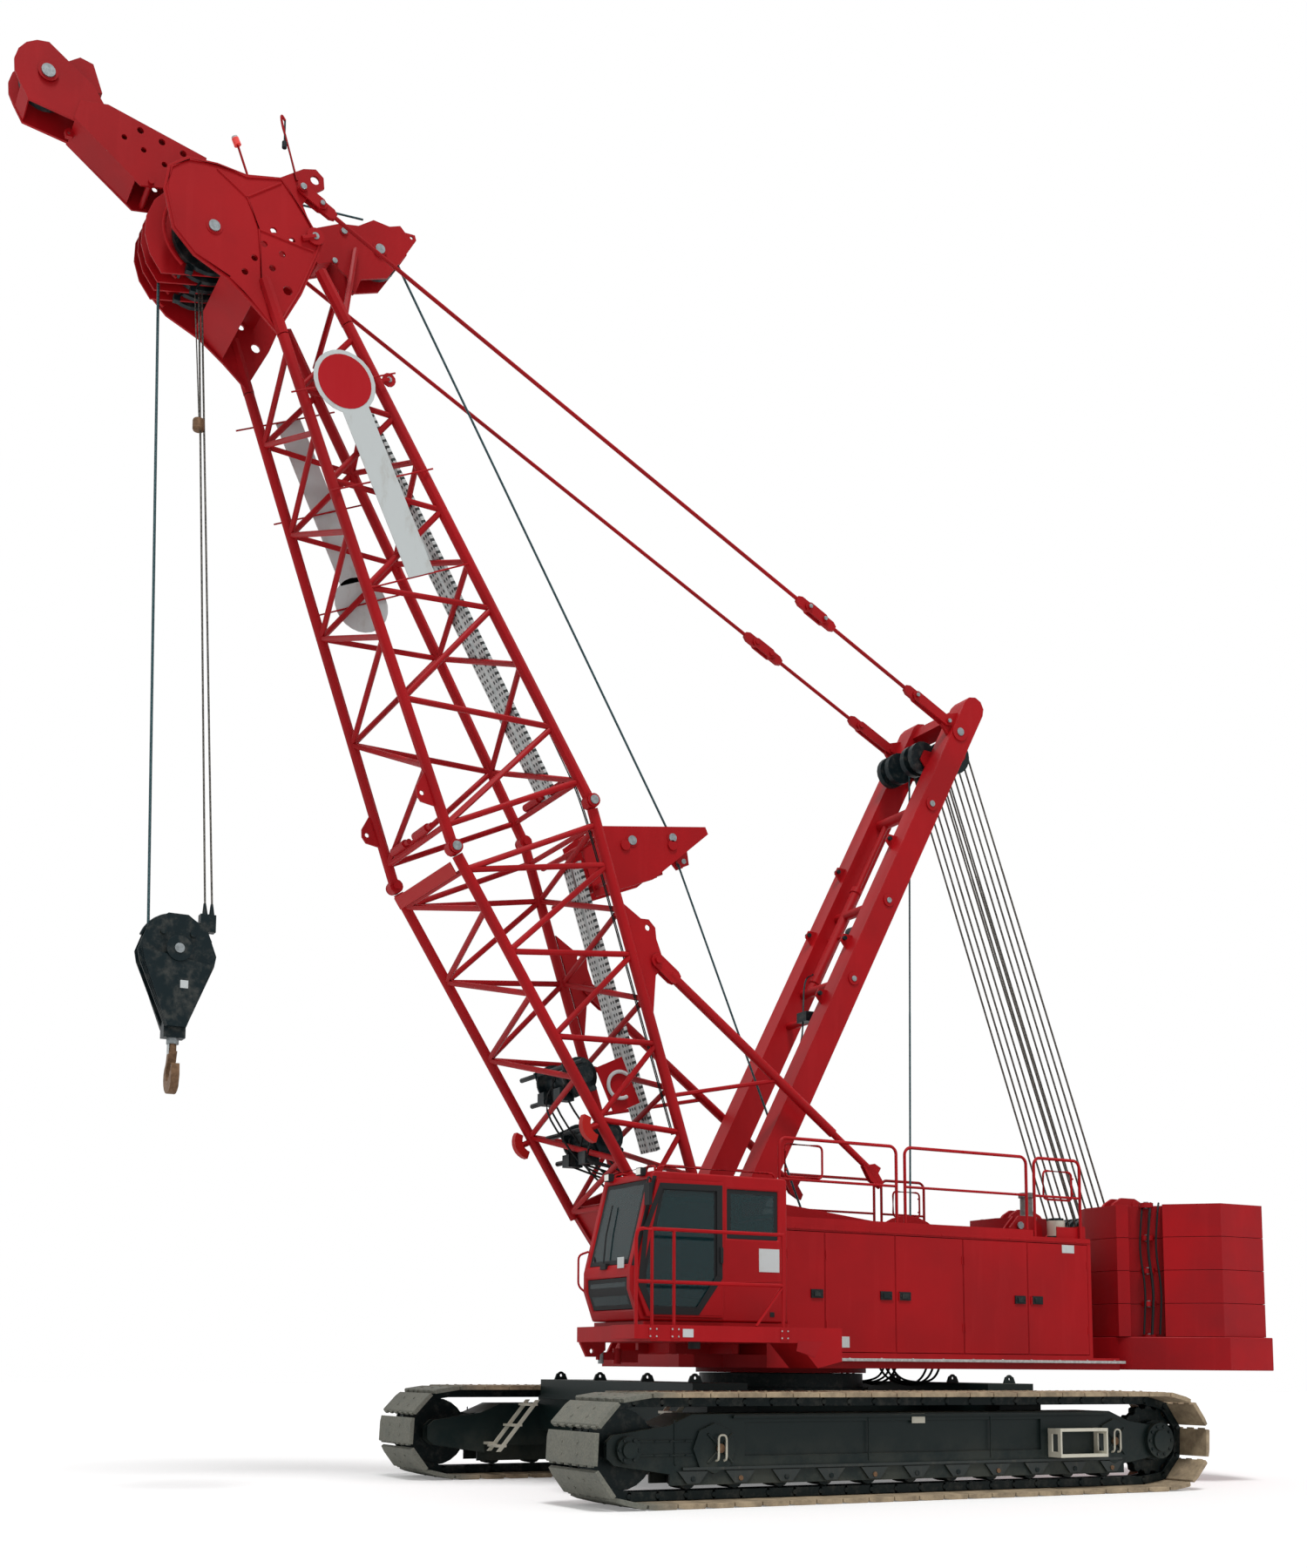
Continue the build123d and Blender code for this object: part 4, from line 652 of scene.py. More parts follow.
def hoist_rope():
    """Over the deflector, down to the rope guide, and on to the front drum."""
    drum, deflector, guide = PIVOT["drum_front_turn"], PIVOT["deflector_swing"], boom(*ROPE_GUIDE)
    rope("hoist_rope_head", [tangent(guide, ROLLER_ABOVE, deflector, DEFLECTOR_SHEAVE, 1)],
         HOIST_ROPE, "rope_dark", "boom")
    halves("hoist_rope", tangent(drum, FRONT_DRUM, guide, ROLLER_BELOW, -1), HOIST_ROPE,
           ("drum_front", "boom"))
    rope("head_rope", [(boom(12.63, -1.43), boom(12.87, -0.77))], HEAD_ROPE, "rope_dark", "boom")


def luff_rope():
    """From the rear drum up to the small guide sheave on the mast."""
    drum, guide = PIVOT["drum_rear_turn"], PIVOT["mast_guide_swing"]
    halves("luff_rope", tangent(drum, REAR_DRUM, guide, MAST_GUIDE_SHEAVE, -1), LUFF_ROPE,
           ("drum_rear", "mast_guide_sheave"))


def falls():
    """The hook block's ropes, fixed in place, and the limit switch's weight."""
    for name, start, end, radius, finish in (
            ("front_fall", (7.675, 0, 12.90), (7.53, 0, 5.58), FRONT_FALL, "rope_dark"),
            ("rear_fall", (7.245, 0, 12.60), (6.968, 0, 5.97), REAR_FALL, "rope_steel"),
            ("dead_end", (7.212, 0, 12.55), (6.896, 0, 5.97), REAR_FALL, "rope_steel")):
        piece = rope(name, [(start, end)], radius, finish, None)
        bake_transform(piece)
    weight, half_height = Vector((7.199, 0.0, 11.06)), Vector((0, 0, 0.065))
    rope("weight_rope", [((7.300, 0.03, 12.62), weight + Vector((0.005, 0.03, 0.05)))], 0.007,
         "rope_steel", "head_sheaves")
    bm = bmesh.new()
    bar(bm, weight - half_height, weight + half_height, 0.062, 20)
    finish_piece("limit_weight", bm, "hook_bronze", "head_sheaves", 0.02)


# ------------------------------------------------------------------ small fittings
# one mesh for the fittings of an area that share a body and a finish
TRIM = {}


def trim(area, body, finish):
    """The mesh that gathers the fittings of one area, body and finish."""
    return TRIM.setdefault((area, body, finish), bmesh.new())


def make_trim():
    """Turns every gathered mesh into a piece named for its area and finish."""
    for (area, body, finish), bm in TRIM.items():
        finish_piece(f"{area}_{finish}", bm, finish, body, 0.0015, 40)


def disc(bm, centre, radius, thick, sides=16):
    """A flat round boss that stands out from centre along thick."""
    bar(bm, centre, Vector(centre) + Vector(thick), radius, sides)


def bend(points, radius, steps=4):
    """The points of a line with each corner rounded off."""
    points = [Vector(p) for p in points]
    line = [points[0]]
    for before, here, after in zip(points, points[1:], points[2:]):
        into, away = before - here, after - here
        start = here + into.normalized() * min(radius, into.length * 0.45)
        end = here + away.normalized() * min(radius, away.length * 0.45)
        line += [start.lerp(here, k / steps).lerp(here.lerp(end, k / steps), k / steps)
                 for k in range(steps + 1)]
    return line + [points[-1]]


def tube(bm, points, radius, turn=0.08, sides=8):
    """A rail with rounded corners."""
    rail(bm, bend(points, turn), radius, sides)


def hose(name, points, radius, body, turn=0.2):
    """A hose clipped at both ends, which hangs free between them."""
    line = bend(points, turn, 6)
    bm = bmesh.new()
    rail(bm, line, radius, 8)
    piece = finish_piece(name, bm, "rubber", body, smooth=60)
    sum((b - a).length for a, b in zip(line, line[1:]))


# layers of a cushion, bottom to top: share of its thickness, how far the sides draw in
CUSHION_LAYERS = [(0.0, 0.03), (0.35, 0.0), (0.7, 0.012), (1.0, 0.06)]
CUSHION_PULL, CUSHION_EDGE, SEAM_DEPTH, SEAM_WIDTH = 0.035, 0.62, 0.14, 0.03


def cushion(name, corner, along, across, out, body):
    """A stuffed pad: crowned, its sides drawn in between the corners, flat underneath."""
    corner, along, across, out = (Vector(v) for v in (corner, along, across, out))
    bm = bmesh.new()
    count = 10
    rows = []
    for level, (share, shrink) in enumerate(CUSHION_LAYERS):
        rows.append([])
        for i in range(count + 1):
            for j in range(count + 1):
                u, v = i / count, j / count
                pull_u = CUSHION_PULL * math.sin(math.pi * v) * (1 - 2 * u)
                pull_v = CUSHION_PULL * math.sin(math.pi * u) * (1 - 2 * v)
                u = u + (0.5 - u) * shrink * 2 + pull_u * 0.5
                v = v + (0.5 - v) * shrink * 2 + pull_v * 0.5
                crown = (1 - (2 * u - 1) ** 4) * (1 - (2 * v - 1) ** 4)
                seam = SEAM_DEPTH * math.exp(-((u - 0.5) / SEAM_WIDTH) ** 2)
                height = share if level < 3 else CUSHION_EDGE + (1 - CUSHION_EDGE - seam) * crown
                rows[-1].append(bm.verts.new(corner + along * u + across * v + out * height))
    wide = count + 1
    for grid in (rows[0], rows[3]):
        for i in range(count):
            for j in range(count):
                bm.faces.new([grid[i * wide + j], grid[(i + 1) * wide + j],
                              grid[(i + 1) * wide + j + 1], grid[i * wide + j + 1]])
    edge = ([(i, 0) for i in range(count)] + [(count, j) for j in range(count)]
            + [(i, count) for i in range(count, 0, -1)] + [(0, j) for j in range(count, 0, -1)])
    for lower, upper in ((rows[0], rows[1]), (rows[1], rows[2]), (rows[2], rows[3])):
        for (a, b), (c, d) in zip(edge, edge[1:] + edge[:1]):
            bm.faces.new([lower[a * wide + b], lower[c * wide + d],
                          upper[c * wide + d], upper[a * wide + b]])
    loose = [v for v in bm.verts if not v.link_faces]
    bmesh.ops.delete(bm, geom=loose, context="VERTS")
    piece = finish_piece(name, bm, "seat_black", body, smooth=50)


def ring_plate(centre, radius, across, up, first=0.0, last=360.0, count=16):
    """Points of an arc in the plane of two directions."""
    angles = [math.radians(first + (last - first) * k / count) for k in range(count + 1)]
    return [Vector(centre) + Vector(across) * radius * math.cos(a)
            + Vector(up) * radius * math.sin(a) for a in angles]


ALONG = Vector((math.cos(BOOM_ANGLE), 0, math.sin(BOOM_ANGLE)))
UNDER = Vector((math.sin(BOOM_ANGLE), 0, -math.cos(BOOM_ANGLE)))
ACROSS = Vector((0, 1, 0))

# sign boards: side, middle of the disc (s, t), radius, far end of the strip
BOARDS = [(1, (10.60, 0.0), 0.34, 8.50), (-1, (8.80, -0.03), 0.32, 10.95)]
BOARD_Y, STRIP_HALF, STRAP_REACH = 0.781, 0.155, 0.62


def sign_boards():
    """Blank boards, each a disc and a strip, with a plain red face on the disc."""
    bm = bmesh.new()
    for side, (s, t), radius, end in BOARDS:
        rim = ring_plate(boom(s, t, side * BOARD_Y), radius, ALONG, UNDER, 0, 345, 23)
        outline(bm, rim, ACROSS * side * 0.008)
        near = s + math.copysign(radius * 0.8, end - s)
        strip = ((near, t - STRIP_HALF), (end, t - STRIP_HALF), (end, t + STRIP_HALF),
                 (near, t + STRIP_HALF))
        outline(bm, [boom(*corner, side * BOARD_Y) for corner in strip], ACROSS * side * 0.009)
    piece = finish_piece("sign_boards_finished", bm, "board_white", "boom", 0.001)
    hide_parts("sign_boards")
    faces, straps = trim("sign", "boom", "disc_red"), trim("sign", "boom", "red")
    for side, (s, t), radius, end in BOARDS:
        disc(faces, boom(s, t, side * (BOARD_Y + 0.008)), radius * 0.86,
             ACROSS * side * 0.004, 32)
        for place in (s, (s + end) / 2, end):
            bar(straps, boom(place, -STRAP_REACH, side * (BOARD_Y - 0.012)),
                boom(place, STRAP_REACH, side * (BOARD_Y - 0.012)), 0.010, 6)


# pin heads of the boom: s, t, y of the face, radius
PIN_HEADS = [(5.7, 0.885, 0.934, 0.05), (5.7, -0.885, 0.934, 0.05), (12.45, 0.64, 0.59, 0.060),
             (12.71, -0.49, 0.636, 0.034), (14.38, 1.54, 0.216, 0.07), (12.2, -1.39, 0.166, 0.055),
             (12.45, -1.05, 0.155, 0.035), (12.15, -0.80, 0.155, 0.03),
             (5.217, -1.62, 0.205, 0.055), (5.09, -2.15, 0.205, 0.05)]
# flange round each head plate, and the ribs folded into its face: s, t
HEAD_RIM = [(11.33, 0.415), (11.67, 0.0), (12.02, -0.35), (12.13, -0.44), (12.43, -0.40),
            (12.84, -0.30), (12.90, 0.07), (13.05, 0.34), (13.14, 0.62), (13.09, 0.84),
            (12.89, 0.98), (12.50, 1.055), (12.21, 0.95), (11.92, 0.69), (11.61, 0.53)]
HEAD_RIBS = [[(11.76, 0.40), (12.36, 0.17), (12.70, 0.16), (13.02, 0.36)],
             [(12.06, -0.34), (12.36, 0.17)], [(12.70, 0.16), (12.80, -0.28)]]
# limit switches under the head: s, t, y, half their size
LIMIT_SWITCHES = [(12.26, 1.03, 0.17, 0.038), (12.14, 1.00, -0.13, 0.034),
                  (12.20, 0.95, 0.30, 0.036), (12.06, 0.93, 0.16, 0.030)]
# hoses from the winches: y, how far they bulge
WINCH_HOSES = [(0.30, 0.10), (0.22, 0.02), (0.12, 0.14), (-0.05, 0.06), (-0.20, 0.12),
               (-0.33, 0.0), (0.40, 0.18), (0.02, 0.24)]


def boom_fittings():
    red = trim("boom_fittings", "boom", "red")
    steel = trim("boom_pins", "boom", "pin_steel")
    dark = trim("boom_gear", "boom", "hook_black")
    rubber = trim("boom_cables", "boom", "rubber")
    boom_pins(red, steel)
    head_flanges(red)
    beacon_and_wind_gauge(red, dark)
    limit_switches(dark)
    head_eyes(red, steel)
    sheave_guards(red)
    boom_joint(red, steel)
    rope_guide_lugs(red, steel)
    bumper_pads(red)
    hose_reel(red)
    winch_hoses(rubber, dark)
    chord_cables(rubber)
    cross_plate_bolts(red)


def boom_pins(red, steel):
    """A steel head on a red boss at both ends of each pin."""
    for s, t, y, radius in PIN_HEADS:
        for side in SIDES:
            disc(steel, boom(s, t, side * (y - 0.004)), radius, ACROSS * side * 0.024)
            disc(red, boom(s, t, side * (y - 0.004)), radius * 1.45, ACROSS * side * 0.010)


def head_flanges(red):
    for side in SIDES:
        for line in [HEAD_RIM + HEAD_RIM[:1]] + HEAD_RIBS:
            rail(red, [boom(s, t, side * HEAD_PLATE_FACE) for s, t in line], 0.014, 6)


def beacon_and_wind_gauge(red, dark):
    """A red beacon that stands on the head, and a wind gauge that hangs from its rod."""
    bar(red, boom(12.90, -0.09, 0.30), boom(13.40, -0.13, 0.30), 0.013, 8)
    beacon = trim("beacon", "boom", "beacon")
    disc(beacon, boom(13.40, -0.13, 0.30), 0.040, ALONG * 0.075)
    disc(trim("beacon", "boom", "board_white"), boom(13.475, -0.13, 0.30), 0.034, ALONG * 0.02)
    tip = boom(13.43, -0.60, 0.60)
    hanging = tip - Vector((0, 0, 0.24))
    tube(red, [boom(12.80, -0.465, 0.60), boom(13.42, -0.555, 0.60), boom(13.50, -0.585, 0.60),
               tip], 0.014)
    bar(dark, tip, hanging, 0.010, 8)
    disc(dark, hanging, 0.026, (0, 0, -0.07), 10)


def limit_switches(dark):
    for s, t, y, size in LIMIT_SWITCHES:
        middle, corner = boom(s, t, y), Vector((size, size, size))
        block(dark, middle - corner, middle + corner)
        bar(dark, middle, boom(s + 0.10, t - 0.20, y), 0.012, 6)


def head_eyes(red, steel):
    """Eyes on the head plate's rear edge and on the top chord, on the left."""
    for s, t, y, radius in [(12.20, -0.42, 0.60, 0.095), (10.60, -0.60, 0.62, 0.075)]:
        outline(red, ring_plate(boom(s, t, y), radius, ALONG, UNDER, 0, 330, 11), ACROSS * 0.02)
        disc(steel, boom(s, t, y + 0.016), radius * 0.4, ACROSS * 0.012)
        bar(red, boom(s, t, y + 0.01), boom(s, t + 0.16, y + 0.01), 0.03, 6)


def sheave_guards(red):
    """Rope guards round the head sheaves, between the curved plates."""
    for y in (-0.40, -0.15, 0.15, 0.40):
        arc = ring_plate(boom(12.45, 0.64, y), 0.47, ALONG, UNDER, -10, 120, 12)
        tube(red, arc, 0.020, 0.02, 6)


def boom_joint(red, steel):
    """Short cross tubes at the joint, and the plate across the underside just below it."""
    joint_s, long_tube, short_tube = 6.03, 0.36, 0.10
    for t, first in ((0.86, -0.52), (0.86, 0.12), (-0.86, -0.50), (-0.86, 0.16)):
        t *= 1.03
        second = first + long_tube
        bar(red, boom(joint_s, t, first), boom(joint_s, t, second), 0.048, 12)
        bar(red, boom(joint_s, t, second), boom(joint_s, t, second + short_tube), 0.030, 12)
        disc(steel, boom(joint_s, t, first - 0.02), 0.036, ACROSS * 0.03)
    # the plate takes the sunlit copy of the red: painted light
    outline(trim("joint", "boom", "red_pale"),
            [boom(5.44, 0.935, -0.80), boom(5.58, 0.955, -0.80), boom(5.58, 0.955, 0.80),
             boom(5.44, 0.935, 0.80)], UNDER * 0.012)


def rope_guide_lugs(red, steel):
    """Lugs and small rollers under the rope guide."""
    lug = ((0.18, -0.12), (0.18, 0.14), (-0.06, 0.05), (-0.06, -0.05))
    for s, t in ((4.80, -1.88), ROPE_GUIDE):
        for side in SIDES:
            outline(red, [boom(s + ds, t + dt, side * 0.06) for ds, dt in lug],
                    ACROSS * 0.015 * side)
        bar(steel, boom(s, t, -0.08), boom(s, t, 0.08), 0.032)


def bumper_pads(red):
    """Curved pads on the underside of the foot section."""
    for side in SIDES:
        pad = (ring_plate(boom(2.45, 0.52, side * 0.80), 0.20, ALONG, UNDER, 35, 145, 8)
               + ring_plate(boom(2.45, 0.49, side * 0.80), 0.13, ALONG, UNDER, 140, 40, 6))
        # the pads take the sunlit copy of the red: painted light
        outline(trim("bumper", "boom", "red_pale"), pad, ACROSS * side * 0.09)
        bar(red, boom(2.45, 0.46, side * 0.845), boom(2.45, 0.66, side * 0.845), 0.035, 8)


def hose_reel(red):
    """The reel's plate in the foot section, with its pale curved guide."""
    plate = ((3.00, -0.30), (2.45, -0.30), (2.45, 0.06), (3.00, 0.06))
    outline(red, [boom(s, t, 0.44) for s, t in plate], ACROSS * 0.012)
    arc = ring_plate(boom(2.72, -0.14, 0.47), 0.15, ALONG, UNDER, -60, 190, 14)
    tube(trim("hose_guide", "boom", "board_white"), arc, 0.022, 0.02, 6)


def winch_hoses(rubber, dark):
    """Hoses clipped from the winches down to the foot, and the boxes that they leave."""
    for k, (y, bulge) in enumerate(WINCH_HOSES):
        top = 3.05 if k % 2 else 2.35
        tube(rubber, [boom(top, 0.34, y), boom(top - 0.25, 0.40 + bulge, y * 0.9),
                      boom(1.95, 0.20 + bulge, y * 1.2), boom(1.60, 0.05 - bulge, y),
                      boom(1.12, 0.02 - bulge * 0.5, y * 0.8)], 0.013, 0.30, 6)
    corner = Vector((0.09, 0.08, 0.07))
    for s in (2.10, 2.85):
        for side in SIDES:
            middle = boom(s, 0.42, side * 0.20)
            block(dark, middle - corner, middle + corner)


def chord_cables(rubber):
    """Two cables clipped along the left top chord."""
    for y in (0.70, 0.73):
        tube(rubber, [boom(11.2, -0.44, y * 0.86), boom(9.0, -0.63, y * 0.94), boom(5.9, -0.86, y),
                      boom(5.5, -0.83, y), boom(2.0, -0.38, y)], 0.008, 0.2, 6)


def cross_plate_bolts(red):
    """A staggered row of bolts along each edge of the head's cross plate."""
    step = 0.035
    for k in range(9):
        for side in SIDES:
            disc(red, boom(12.87 + step * (k % 2), -0.27 + step * k, side * 0.50), 0.012,
                 ALONG * 0.02, 6)


# bosses on the mast's legs: m, n, y of the face, radius
MAST_BOSSES = [(7.80, 0.05, 0.654, 0.115), (0.0, 0.0, 0.600, 0.07), (6.70, 0.0, 0.654, 0.085),
               (4.075, 0.0, 0.654, 0.075), (5.226, 0.0, 0.654, 0.075)]
# pins of the pendants: lengths from the lower end, then from the upper end
PENDANT_PINS, PENDANT_TOP_PINS = (0.0, 0.545, 2.09, 2.33), (0.24, 0.0)
RAM_Y = -0.23


def mast_fittings():
    red = trim("mast_fittings", "mast", "red")
    steel = trim("mast_pins", "mast", "pin_steel")
    dark = trim("mast_gear", "mast", "hook_black")
    mast_sheave_guards(dark)
    for side in SIDES:
        mast_leg(side, red, steel)
    mast_lugs(red, dark)
    mast_ram(red, dark)
    mast_drum(red, dark)
    pendant_pins()


def mast_sheave_guards(dark):
    """Dark round guards in front of the nest of sheaves."""
    for y in (-0.35, -0.19, 0.12, 0.28):
        disc(dark, mast(7.40, 0.21, y), 0.200, (0, 0.075, 0), 20)


def mast_leg(side, red, steel):
    """A guard's bracket, bosses on the outer face and flanges along both edges of a leg."""
    bracket = ((7.24, 0.08), (7.32, 0.26), (7.46, 0.26), (7.54, 0.08))
    outline(red, [mast(m, n, side * 0.366) for m, n in bracket], ACROSS * side * 0.02)
    for m, n, face, radius in MAST_BOSSES:
        disc(red, mast(m, n, side * (face - 0.003)), radius, (0, side * 0.018, 0), 20)
        disc(steel, mast(m, n, side * (face + 0.012)), radius * 0.45, (0, side * 0.012, 0))
    for n in (-0.150, 0.145):
        bar(red, mast(0.75, n, side * 0.650), mast(8.15, n, side * 0.650), 0.007, 6)


def mast_lugs(red, dark):
    """Lugs on the legs, each with a dark clamp."""
    lug = ((-0.10, 0.15), (0.10, 0.15), (0.05, 0.27), (-0.05, 0.27))
    for m, side in ((5.83, -1), (4.84, -1), (6.05, 1), (3.75, 1), (4.55, 1)):
        outline(red, [mast(m + dm, n, side * 0.45) for dm, n in lug], ACROSS * side * 0.02)
        disc(dark, mast(m, 0.24, side * 0.43), 0.028, (0, side * 0.07, 0), 10)


def mast_ram(red, dark):
    """Glands of the ram between the legs, and the line that feeds it."""
    for m in (4.20, 5.58):
        bar(red, mast(m, 0, RAM_Y), mast(m + 0.07, 0, RAM_Y), 0.075, 14)
    tube(dark, [mast(4.3, 0.07, RAM_Y), mast(4.1, 0.22, -0.10), mast(3.2, 0.02, 0.20),
                mast(1.2, 0.05, 0.36)], 0.011, 0.3, 6)


def mast_drum(red, dark):
    """A small drum and a box, each on a cross tube between the legs."""
    bar(dark, mast(4.9, -0.02, 0.05), mast(4.9, -0.02, 0.28), 0.075, 14)
    bar(red, mast(4.9, -0.02, -0.38), mast(4.9, -0.02, 0.38), 0.030, 10)
    middle, corner = mast(3.6, 0.05, 0.10), Vector((0.10, 0.10, 0.06))
    block(dark, middle - corner, middle + corner)
    bar(red, mast(3.6, 0.0, -0.38), mast(3.6, 0.0, 0.38), 0.045, 10)


def pendant_pins():
    low, high = mast(7.85, 0.235), boom(12.71, -0.49)
    span = high - low
    pins = trim("pendant_pins", "boom", "pin_steel")
    for along in PENDANT_PINS + tuple(span.length - back for back in PENDANT_TOP_PINS):
        place = low + span.normalized() * along
        for side in SIDES:
            disc(pins, place + ACROSS * side * 0.632, 0.026, (0, side * 0.016, 0), 10)


# gate hoops in the deck's rails: x of the hinge, x of the far end, z low and high
GATES = ((0.89, 0.40, 3.40, 3.76), (-3.22, -2.78, 3.34, 3.68))
# door latches: word of the door's node, x
LATCHES = (("0", 0.53), ("1", -0.40), ("2", -0.66), ("3", -2.33), ("4", -2.59))
# blank plates on the left doors: word, x and z of two corners
DOOR_PLATES = (("1", 0.10, 0.33, 1.555, 1.675), ("4", -3.18, -2.99, 2.705, 2.80))


def house_fittings():
    steel = trim("house_pins", "house", "pin_steel")
    red = trim("house_fittings", "house", "red")
    dark = trim("house_gear", "house", "hook_black")
    sill_strips()
    for side in SIDES:
        deck_edge(side, red, steel)
        deck_gates(side, red)
    underside_hoses()
    air_filters(red, dark)
    rear_lamps()
    floor_bracket(red, steel)
    disc(trim("round_vent", "house", "rubber"), (2.62, 2.40, 1.58), 0.06, (0, 0, -0.07), 14)
    door_latches()
    door_plates()


def sill_strips():
    """A bright strip with bolts along each sill of the bed."""
    strip = trim("sill_strips", "house", "bright_steel")
    for side in SIDES:
        block(strip, (-3.90, side * 1.498, 1.408), (0.75, side * 1.560, 1.440))
        for k in range(11):
            disc(strip, (0.55 - 0.43 * k, side * 1.53, 1.438), 0.012, (0, 0, 0.008), 6)


def deck_edge(side, red, steel):
    """Heads of the pins in the deck's lugs, and the seam of the deck's edge with its bolts."""
    disc(steel, (-2.66, side * 1.158, 3.04), 0.045, (0, side * 0.02, 0))
    disc(steel, (-2.66, side * 0.992, 3.04), 0.045, (0, -side * 0.02, 0))
    block(red, (-3.435, side * 1.493, 2.832), (1.175, side * 1.508, 2.858))
    for x in (-3.2, -2.2, -1.2, -0.2, 0.8):
        disc(red, (x, side * 1.506, 2.845), 0.014, (0, side * 0.006, 0), 6)


def deck_gates(side, red):
    """Gate hoops in the deck's rails, each on two hinges."""
    y = side * 1.437
    for hinge, far, z0, z1 in GATES:
        x0, x1 = min(hinge, far), max(hinge, far)
        middle = (x0 + x1) / 2
        tube(red, [(middle, y, z0), (x0, y, z0), (x0, y, z1), (x1, y, z1), (x1, y, z0),
                   (middle - 0.001, y, z0)], 0.014, 0.06, 6)
        for z in (z0 + 0.08, z1 - 0.08):
            bar(red, (hinge, side * 1.467, z), (hinge, y, z), 0.012, 6)


def underside_hoses():
    """Hoses that hang under the house, behind the slew ring."""
    for word, side in (("left", 1), ("right", -1)):
        for k in range(3):
            y = side * (0.30 + 0.12 * k)
            hose(f"underside_hose_{k}_{word}",
                 [(-1.15, y, 1.42), (-1.32, y, 1.20), (-1.62, y + side * 0.05, 1.12 + 0.02 * k),
                  (-1.85, y, 1.22), (-1.95, y, 1.42)], 0.014, "house", 0.16)


def air_filters(red, dark):
    """A pale filter with dark ends in its recess on each side of the deck."""
    for side in SIDES:
        x, y, base = -3.12, side * 1.27, 2.885
        disc(trim("air_filter", "house", "step_white"), (x, y, base), 0.105, (0, 0, 0.22), 24)
        disc(dark, (x, y, base), 0.11, (0, 0, 0.035), 24)
        disc(dark, (x, y, base + 0.22), 0.09, (0, 0, 0.03), 24)
        block(red, (-3.30, side * 1.42, base), (-2.98, side * 1.435, 3.02))


def rear_lamps():
    for low, high in ((0.80, 0.90), (-0.90, -0.80)):
        block(trim("rear_lamp", "house", "lamp"), (-3.445, low, 2.52), (-3.438, high, 2.62))


def floor_bracket(red, steel):
    """Short bracket with its pin, below the cab floor."""
    block(red, (2.50, 1.006, 1.375), (2.74, 1.056, 1.505))
    block(red, (2.74, 1.012, 1.400), (2.98, 1.050, 1.480))
    bar(red, (2.74, 1.031, 1.36), (2.74, 1.031, 1.52), 0.045, 12)
    bar(steel, (2.93, 1.031, 1.36), (2.93, 1.031, 1.505), 0.030, 12)


def door_latches():
    """A black latch with a steel handle and two screws on each housing door."""
    for word, side in (("left", 1), ("right", -1)):
        for tag, x in LATCHES:
            door = f"door_{word}_{tag}"
            if door not in NODES:
                continue
            latch = trim(f"latch_{word}_{tag}", door, "rubber")
            block(latch, (x - 0.078, side * 1.499, 2.088), (x + 0.078, side * 1.516, 2.182))
            handle = trim(f"handle_{word}_{tag}", door, "wheel_steel")
            block(handle, (x - 0.045, side * 1.514, 2.105), (x + 0.045, side * 1.524, 2.165))
            for dx in (-0.064, 0.064):
                disc(handle, (x + dx, side * 1.515, 2.135), 0.009, (0, side * 0.006, 0), 8)


def door_plates():
    for tag, x0, x1, z0, z1 in DOOR_PLATES:
        block(trim(f"plate_left_{tag}", f"door_left_{tag}", "board_white"), (x0, 1.4995, z0),
              (x1, 1.503, z1))


# hoses that stand beside the slabs: x, y, radius
SLAB_HOSES = ((-4.30, 1.60, 0.017), (-4.37, 1.66, 0.013), (-4.25, 1.52, 0.013))
SLAB_LAYER, FIRST_LAYER = 0.401, 1.736


def counterweight_fittings():
    """Locating rings between the slabs, hoses beside them, and pads on the lifting ears."""
    red = trim("counterweight_fittings", "house", "dark_red")
    hoses = trim("counterweight_hoses", "house", "rubber")
    steel = trim("counterweight_pins", "house", "pin_steel")
    for side in SIDES:
        for layer in range(5):
            z = FIRST_LAYER + SLAB_LAYER * layer
            disc(red, (-4.36, side * 1.50, z - 0.035), 0.085, (0, 0, 0.06), 16)
            disc(steel, (-4.36, side * 1.50, z - 0.045), 0.030, (0, 0, 0.085), 10)
        for x, y, radius in SLAB_HOSES:
            tube(hoses, [(x, side * y, 1.76), (x - 0.03, side * (y + 0.02), 2.30),
                         (x + 0.02, side * (y - 0.02), 2.80), (x - 0.02, side * y, 3.28),
                         (x - 0.16, side * (y - 0.12), 3.37)], radius, 0.2, 6)
        disc(steel, (-4.36, side * 1.50, 3.32), 0.06, (0, 0, 0.03), 12)
        disc(red, (-4.64, side * 1.04, 3.39), 0.05, (0, side * 0.008, 0), 16)


# border of the cab door's window, and the point that it narrows towards: x, z
DOOR_RIM = [(3.021, 2.715), (2.835, 3.165), (2.105, 3.175), (2.105, 2.224), (2.385, 1.850),
            (2.935, 1.850), (3.078, 2.129), (3.070, 2.280)]
DOOR_MIDDLE = (2.62, 2.55)


def cab_fittings():
    red = trim("cab_fittings", "house", "red")
    dark = trim("cab_gear", "house", "rubber")
    white = trim("cab_plates", "house", "board_white")
    steel = trim("cab_bolts", "house", "bright_steel")
    cab_plates(dark, white)
    cab_rails(red)
    mirror_and_lamps(dark)
    wiper(dark, white)
    cab_door_fittings()
    cab_side(red, dark)
    seat()
    railing_feet(red, steel)
    walkway_gate(red)


def cab_plates(dark, white):
    """Blank plates on the cab's side and the walkway's edge, and a small dark catch."""
    for x0, x1, z0, z1, y in ((1.39, 1.64, 2.31, 2.55, 2.0605), (2.72, 2.84, 1.62, 1.70, 2.5505)):
        block(white, (x0, y - 0.001, z0), (x1, y + 0.003, z1))
    block(dark, (1.455, 2.059, 1.850), (1.510, 2.0655, 1.900))


